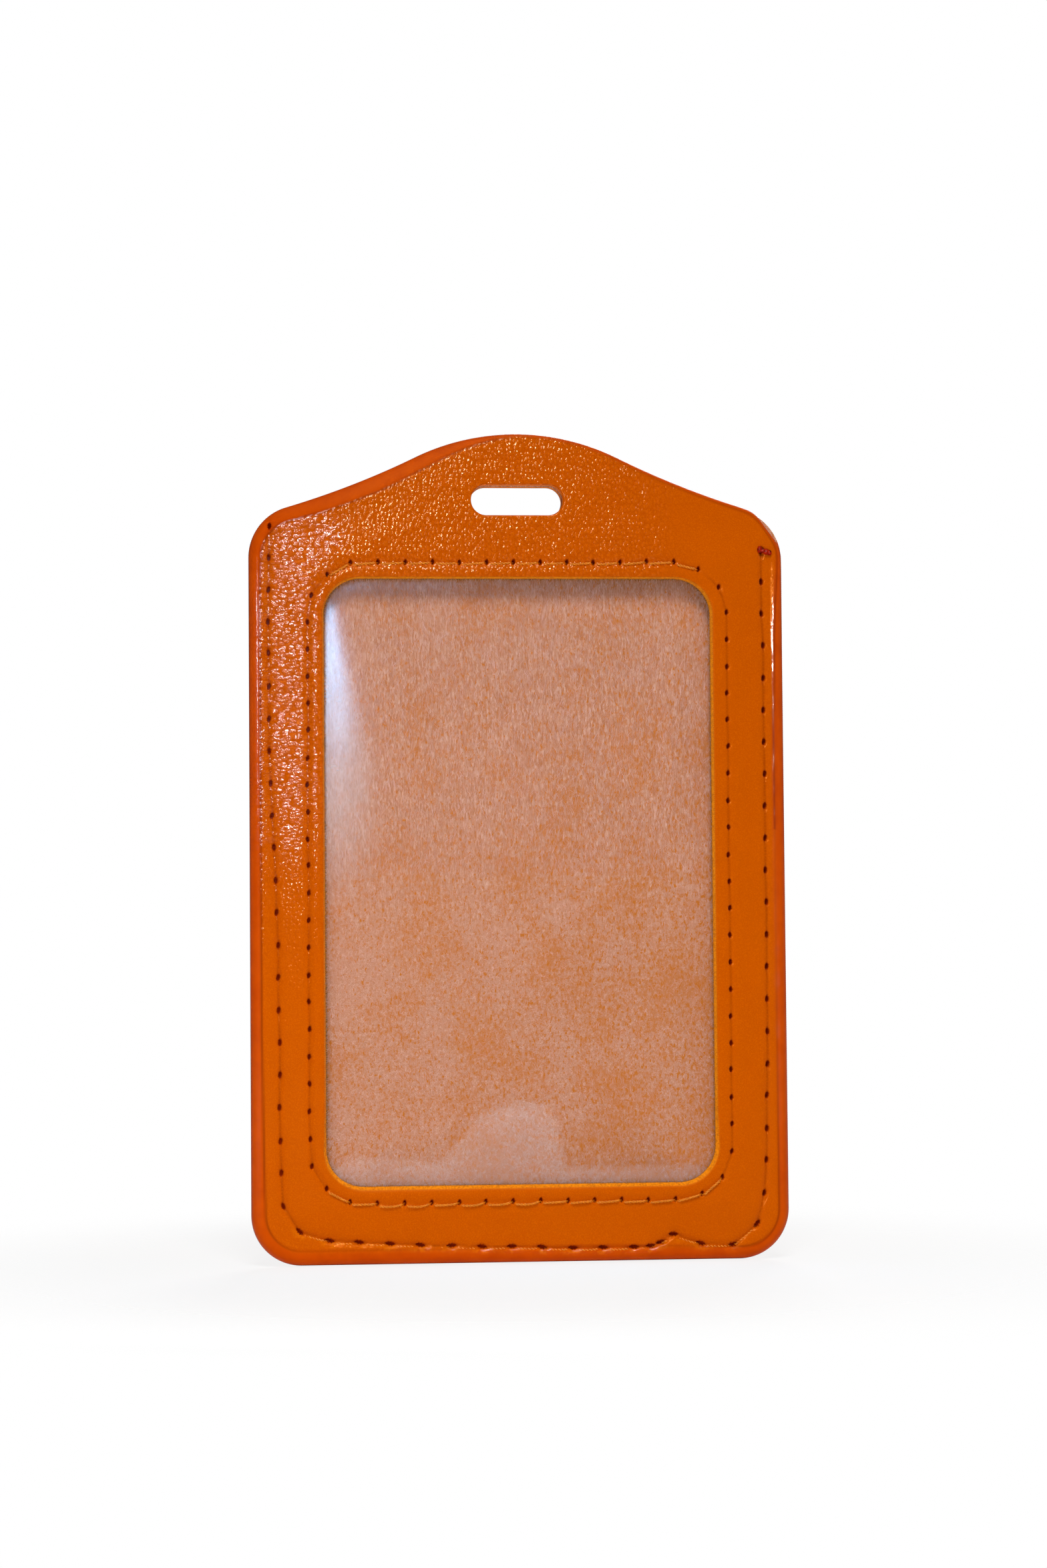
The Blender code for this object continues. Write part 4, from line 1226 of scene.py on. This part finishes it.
class IDHOLDER_OT_film(bpy.types.Operator):
    """Adds the clear film behind the window"""

    bl_idname = "idholder.film"
    bl_label = "Window Film"

    def execute(self, context):
        loop = resampled(window_outline(FILM_MARGIN), FILM_PITCH, True)
        grid = even_places((-HALF_WIDTH, BOTTOM_Z), (HALF_WIDTH, TOP_Z), FILM_PITCH)
        grid = grid[Line(loop, True).measure(grid)[0] > 0.5 * MM]
        flat, triangles, orders = triangulated([loop], grid)
        spots = Spots(flat)
        x, z = spots.x, spots.z
        # The film bows out a little between its sewn edges, and ripples near them
        border = mix(5.0 * MM, 12.5 * MM, smooth(-12 * MM, -38 * MM, z))
        free = np.clip(-spots.cut / border, 0, 1)
        bow = 0.10 * MM * free * spots.lumps(21, 29, 61) - 0.066 * border * (2 * free - free**2)
        ripple = 0.06 * MM * smooth(-1.2 * MM, 1.5 * MM, -spots.cut) * spots.lumps(9, 13, 62)
        front = np.insert(flat, 1, FILM_LOW.y + 0.12 * MM + bow + ripple + spots.pinch, axis=1)
        back = front + np.array((0, FILM_HIGH.y - FILM_LOW.y, 0))
        walls = np.stack([orders[0], np.roll(orders[0], -1)], 1)
        wall = np.concatenate([walls, walls[:, ::-1] + len(flat)], 1)
        piece = new_mesh("window_film_sheet", np.concatenate([front, back]),
                         [triangles, triangles[:, ::-1] + len(flat), wall])
        # Painted glare: the film's foot is a little whitish, with a soft wavy upper edge, standing for a
        # reflection
        painted_glare = smooth(0.5 * MM, -0.9 * MM, z - np.interp(x / MM, *np.transpose(FOOT_GLARE_EDGE)) * MM)
        # A paler wedge of painted glare widens down the left side
        reach = mix(2.0 * MM, 8.5 * MM, smooth(-14 * MM, -38 * MM, z))
        wedge = smooth(1.0, 0.2, (x + WINDOW_SIDE) / reach)
        wedge *= smooth(-12 * MM, -24 * MM, z) * smooth(-56 * MM, -38 * MM, z)
        painted_glare = np.maximum(painted_glare, 2.2 * wedge)
        point_attribute(piece.data, "painted_glare", np.concatenate([painted_glare, painted_glare * 0]))
        face_outwards(piece)
        piece.data.materials.append(film_material("clear_film"))
        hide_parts("window_film")
        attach(piece, "holder")
        return {"FINISHED"}


def stitch_lines(seam, lift, low_end, high_end, sag, sunk, face_y, facing):
    """Centre lines of a seam's stitches on one face: out of a hole, along the face and into the next hole.

    low_end and high_end set how far below its holes a stitch starts on its left and ends on its right, and
    sunk, from 0 to 1, how soon it goes down before a hole.
    """
    here = np.arange(seam.gaps)
    there = (here + 1) % len(seam.holes)
    start, end = seam.holes[here], seam.holes[there]
    way = end - start
    length = np.linalg.norm(way, axis=1)
    across = np.stack([-way[:, 1], way[:, 0]], 1) / length[:, None]
    share = np.linspace(0.0, 1.0, STITCH_POINTS)
    flat = start[:, None] + way[:, None] * share[None, :, None]
    rightward = np.where(way[:, :1] > 0, share, 1 - share)
    flat[:, :, 1] -= mix(low_end[:, None], high_end[:, None], rightward)
    flat[:, :, 1] -= sag[:, None] * np.sin(math.pi * share)
    near_end = np.minimum(share, 1 - share)[None] * length[:, None]
    dive = np.exp(-((near_end / (mix(0.34, 0.85, sunk)[:, None] * MM)) ** 1.8))
    height = mix(lift[:, None], mix(SUNK_THREAD, -1.40, sunk)[:, None] * MM, dive)
    base = face_y(flat.reshape(-1, 2)).reshape(flat.shape[:2])
    return np.stack([flat[:, :, 0], base + facing * height, flat[:, :, 1]], 2), across


def twisted(name, lines, across, radius):
    """Two strands laid round each centre line."""
    share = np.linspace(0, STITCH_POINTS - 1, 3 * STITCH_POINTS)
    low = np.clip(np.floor(share).astype(int), 0, STITCH_POINTS - 2)
    centre = mix(lines[:, low], lines[:, low + 1], (share - low)[None, :, None])
    tangent = np.gradient(centre, axis=1)
    travelled = np.cumsum(np.linalg.norm(tangent, axis=2), 1)
    tangent = unit(tangent)
    reference = np.insert(across, 1, 0.0, axis=1)[:, None]
    normal = unit(np.cross(tangent, reference))
    beside = np.cross(tangent, normal)
    strands = []
    phase = np.random.default_rng(len(lines)).uniform(0, 2 * math.pi, len(lines))[:, None]
    for turn in (0, math.pi):
        angle = (travelled / STRAND_TURN * 2 * math.pi + phase + turn)[:, :, None]
        strands.append(centre + (normal * np.cos(angle) + beside * np.sin(angle)) * radius * 0.5)
    return tubes(name, np.concatenate(strands), radius * 0.56, 6, np.concatenate([reference, reference]))


class IDHOLDER_OT_window_stitches(bpy.types.Operator):
    """Adds the thread of the seam round the window, on the face and in the pocket"""

    bl_idname = "idholder.window_stitches"
    bl_label = "Window Stitches"

    def execute(self, context):
        draw = np.random.default_rng(71)
        middle = (WINDOW.holes + np.roll(WINDOW.holes, -1, 0)) / 2
        # The thread shows in the rows above and below the window, and hangs slack in part of the lower one
        row = smooth(WINDOW_SIDE + 0.3 * MM, WINDOW_SIDE - 0.6 * MM, np.abs(middle[:, 0]))
        low = row * (middle[:, 1] < WINDOW_CENTRE_Z)
        slack = low * (middle[:, 0] > -18 * MM) * (middle[:, 0] < 1 * MM)
        lift = mix(SUNK_THREAD, 0.02, row) * MM + (low + slack) * 0.06 * MM
        sag = slack * draw.uniform(0.05, 0.34, len(middle)) * MM
        lines, across = stitch_lines(
            WINDOW, lift, row * 0.36 * MM, row * 0.12 * MM, sag, 1 - row, lambda p: face_height(p, -1), -1
        )
        face = twisted("window_stitches_face", lines, across, THREAD_RADIUS * 0.88)
        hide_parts("window_seam_thread_1")
        none = np.zeros(len(middle))
        lines, across = stitch_lines(WINDOW, none + 0.16 * MM, none, none, none, none, pocket_height, 1)
        lines[:, :, 1] = np.maximum(lines[:, :, 1], FRONT_Y + LEAF + 0.05 * MM)
        pocket = twisted("window_stitches_pocket", lines, across, THREAD_RADIUS)
        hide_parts("window_seam_thread_2")
        material = thread_material("orange_twisted_thread", context.scene.id_holder_thread)
        for piece in (face, pocket):
            piece.data.materials.append(material)
            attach(piece, "holder")
        return {"FINISHED"}


class IDHOLDER_OT_outer_stitches(bpy.types.Operator):
    """Adds the thread of the seam along the sides and the bottom, on both faces"""

    bl_idname = "idholder.outer_stitches"
    bl_label = "Outer Stitches"

    def execute(self, context):
        middle = (OUTER.holes[:-1] + OUTER.holes[1:]) / 2
        foot = smooth(FOOT_FROM_Z, FOOT_TO_Z, middle[:, 1])
        front_lift, back_lift = mix(SUNK_THREAD, -0.27, foot) * MM, np.full(len(middle), -0.06 * MM)
        material = thread_material("outer_twisted_thread", context.scene.id_holder_thread)
        for name, facing, node, lift, sunk, thickness in (
            ("outer_stitches_face", -1, "outer_seam_thread_1", front_lift, 1 - foot * 0.55, 0.85),
            ("outer_stitches_back", 1, "outer_seam_thread_2", back_lift, foot * 0, 1.0),
        ):
            lines, across = stitch_lines(
                OUTER, lift, foot * 0.32 * MM, foot * 0.24 * MM, foot * 0.06 * MM, sunk,
                lambda p: face_height(p, facing), facing
            )
            piece = twisted(name, lines, across, THREAD_RADIUS * thickness)
            piece.data.materials.append(material)
            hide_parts(node)
            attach(piece, "holder")
        return {"FINISHED"}


class IDHOLDER_OT_knot(bpy.types.Operator):
    """Adds the melted end of the thread beside the seam's right end"""

    bl_idname = "idholder.knot"
    bl_label = "Thread Knot"

    def execute(self, context):
        x, z = OUTER.holes[-1]
        y = face_height(OUTER.holes[-1:], -1)[0] - 0.06 * MM
        shape = bmesh.new()
        for along, drop, width, tall in KNOT_BEADS:
            centre = Vector((x + along * MM, y, z + drop * MM))
            size = Vector((width * MM, KNOT_DEPTH, tall * MM))
            made = bmesh.ops.create_icosphere(shape, subdivisions=3, radius=1.0)
            for vertex in made["verts"]:
                vertex.co = centre + vertex.co * size
        mesh = bpy.data.meshes.new("thread_knot")
        shape.to_mesh(mesh)
        shape.free()
        piece = linked("thread_knot", mesh)
        remesh = piece.modifiers.new("joined", "REMESH")
        remesh.mode = "VOXEL"
        remesh.voxel_size = KNOT_VOXEL
        piece.modifiers.new("melted", "SMOOTH").iterations = 4
        graph = bpy.context.evaluated_depsgraph_get()
        piece.data = bpy.data.meshes.new_from_object(piece.evaluated_get(graph))
        piece.modifiers.clear()
        rest_attribute(piece.data, np.array([v.co for v in piece.data.vertices]))
        piece.data.shade_smooth()
        piece.data.materials.append(knot_material("melted_thread_end", context.scene.id_holder_thread))
        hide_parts("thread_tail")
        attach(piece, "holder")
        return {"FINISHED"}


def add_camera(scene):
    data = bpy.data.cameras.new("camera")
    data.lens = CAMERA_LENS
    data.clip_start, data.clip_end = 0.01, 10
    camera = linked("camera", data)
    camera.location = CAMERA_PLACE
    turn = Euler((math.pi / 2 + CAMERA_PITCH, 0, CAMERA_YAW), "XYZ").to_matrix()
    roll = Euler((0, 0, -CAMERA_ROLL), "XYZ").to_matrix()
    camera.rotation_euler = (turn @ roll).to_euler()
    scene.camera = camera


def add_lamp(name, place, width, height, power, tint, only):
    """A soft lamp that looks at the holder. only keeps it to the gloss or to the diffuse light."""
    data = bpy.data.lights.new(name, "AREA")
    data.shape = "RECTANGLE"
    data.size, data.size_y = width, height
    data.energy = power
    data.color = tint
    lamp = linked(name, data)
    lamp.location = place
    lamp.visible_camera = False
    lamp.visible_diffuse = only != "gloss"
    lamp.visible_glossy = only != "diffuse"
    lamp.rotation_euler = (AIM - Vector(place)).to_track_quat("-Z", "Y").to_euler()


def add_floor():
    """A floor that the camera sees as a white sweep, with the shadow, and that fades at its edges."""
    mesh = bpy.data.meshes.new("floor")
    shape = bmesh.new()
    bmesh.ops.create_grid(shape, x_segments=2, y_segments=2, size=1.5)
    shape.to_mesh(mesh)
    shape.free()
    floor = linked("floor", mesh)
    floor.location = (0, 0, BOTTOM_Z - 0.1 * MM)
    recipe = Recipe("pale_floor", Base_Color=FLOOR_GREY, Roughness=0.7, Specular_IOR_Level=0.1)
    seen = recipe.add("LightPath", {}, "Is Camera Ray")
    white = recipe.add("Emission", {"Color": WHITE, "Strength": 1.0})
    pale = recipe.mixed(recipe.times(seen, 0.8), recipe.shader.outputs["BSDF"], white)
    where = recipe.add("TexCoord", {}, "Object")
    away = recipe.add("VectorMath", {0: where}, "Value", operation="LENGTH")
    fade = recipe.steps(away, 0.045, 0.11, kind="SMOOTHSTEP")
    recipe.surface(recipe.mixed(recipe.times(seen, fade), pale, recipe.add("BsdfTransparent")))
    floor.data.materials.append(recipe.material)


def add_world(scene, fill_strength):
    """White where it is seen directly or mirrored, and an even soft fill for the light that it gives."""
    scene.world = bpy.data.worlds.new("white_studio")
    scene.world.use_nodes = True
    nodes = Nodes(scene.world.node_tree)
    rays = nodes.add("LightPath").node.outputs
    mirrored = nodes.most(rays["Is Glossy Ray"], rays["Is Transmission Ray"])
    # Dark cards stand straight in front of and behind the holder, so that its faces keep their deep colour
    way = nodes.add("SeparateXYZ", {0: nodes.add("TexCoord", {}, "Generated")}, "Y")
    card = nodes.steps(nodes.maths("ABSOLUTE", way), 0.02, 0.30, 1.0, 0.02)
    seen = nodes.most(rays["Is Camera Ray"], nodes.times(mirrored, card))
    # The even fill isn't mirrored
    even = nodes.times(fill_strength, nodes.minus(1.0, mirrored))
    fill, white = (
        nodes.add("Background", {"Color": WHITE, "Strength": strength}) for strength in (even, 1.0)
    )
    nodes.surface(nodes.mixed(seen, fill, white))


class IDHOLDER_OT_stage(bpy.types.Operator):
    """Adds the camera, the lamps, the pale floor and the white surroundings"""

    bl_idname = "idholder.stage"
    bl_label = "Stage"

    def execute(self, context):
        scene, stage = context.scene, context.scene.id_holder_stage
        scene.view_settings.view_transform = "Standard"
        add_camera(scene)
        for name, (place, width, height, setting, share, tint, only) in LAMPS.items():
            add_lamp(name, place, width, height, getattr(stage, setting) * share, tint, only)
        add_floor()
        add_world(scene, stage.fill_strength)
        return {"FINISHED"}


class IDHOLDER_PT_panel(bpy.types.Panel):
    """Lists the steps that dress the holder"""

    bl_label = "Id Holder"
    bl_idname = "IDHOLDER_PT_panel"
    bl_space_type = "VIEW_3D"
    bl_region_type = "UI"
    bl_category = "Id Holder"

    def draw(self, context):
        for step in STEPS:
            self.layout.operator(step.bl_idname)
        for group in GROUPS:
            owner = getattr(context.scene, group)
            for name in owner.__annotations__:
                self.layout.prop(owner, name)


STEPS = (
    IDHOLDER_OT_stage,
    IDHOLDER_OT_front_leaf,
    IDHOLDER_OT_back_leaf,
    IDHOLDER_OT_nap,
    IDHOLDER_OT_fuzz,
    IDHOLDER_OT_film,
    IDHOLDER_OT_window_stitches,
    IDHOLDER_OT_outer_stitches,
    IDHOLDER_OT_knot,
)
GROUPS = {
    "id_holder_leather": IdHolderLeather,
    "id_holder_window": IdHolderWindow,
    "id_holder_thread": IdHolderThread,
    "id_holder_stage": IdHolderStage,
}


def register():
    for group in GROUPS.values():
        bpy.utils.register_class(group)
    for step in (*STEPS, IDHOLDER_PT_panel):
        bpy.utils.register_class(step)
    for name, group in GROUPS.items():
        setattr(bpy.types.Scene, name, PointerProperty(type=group))


def unregister():
    for name in GROUPS:
        delattr(bpy.types.Scene, name)
    for step in (IDHOLDER_PT_panel, *reversed(STEPS)):
        bpy.utils.unregister_class(step)
    for group in GROUPS.values():
        bpy.utils.unregister_class(group)


def main():
    register()
    for step in STEPS:
        family, name = step.bl_idname.split(".")
        getattr(getattr(bpy.ops, family), name)()


if __name__ == "__main__":
    main()
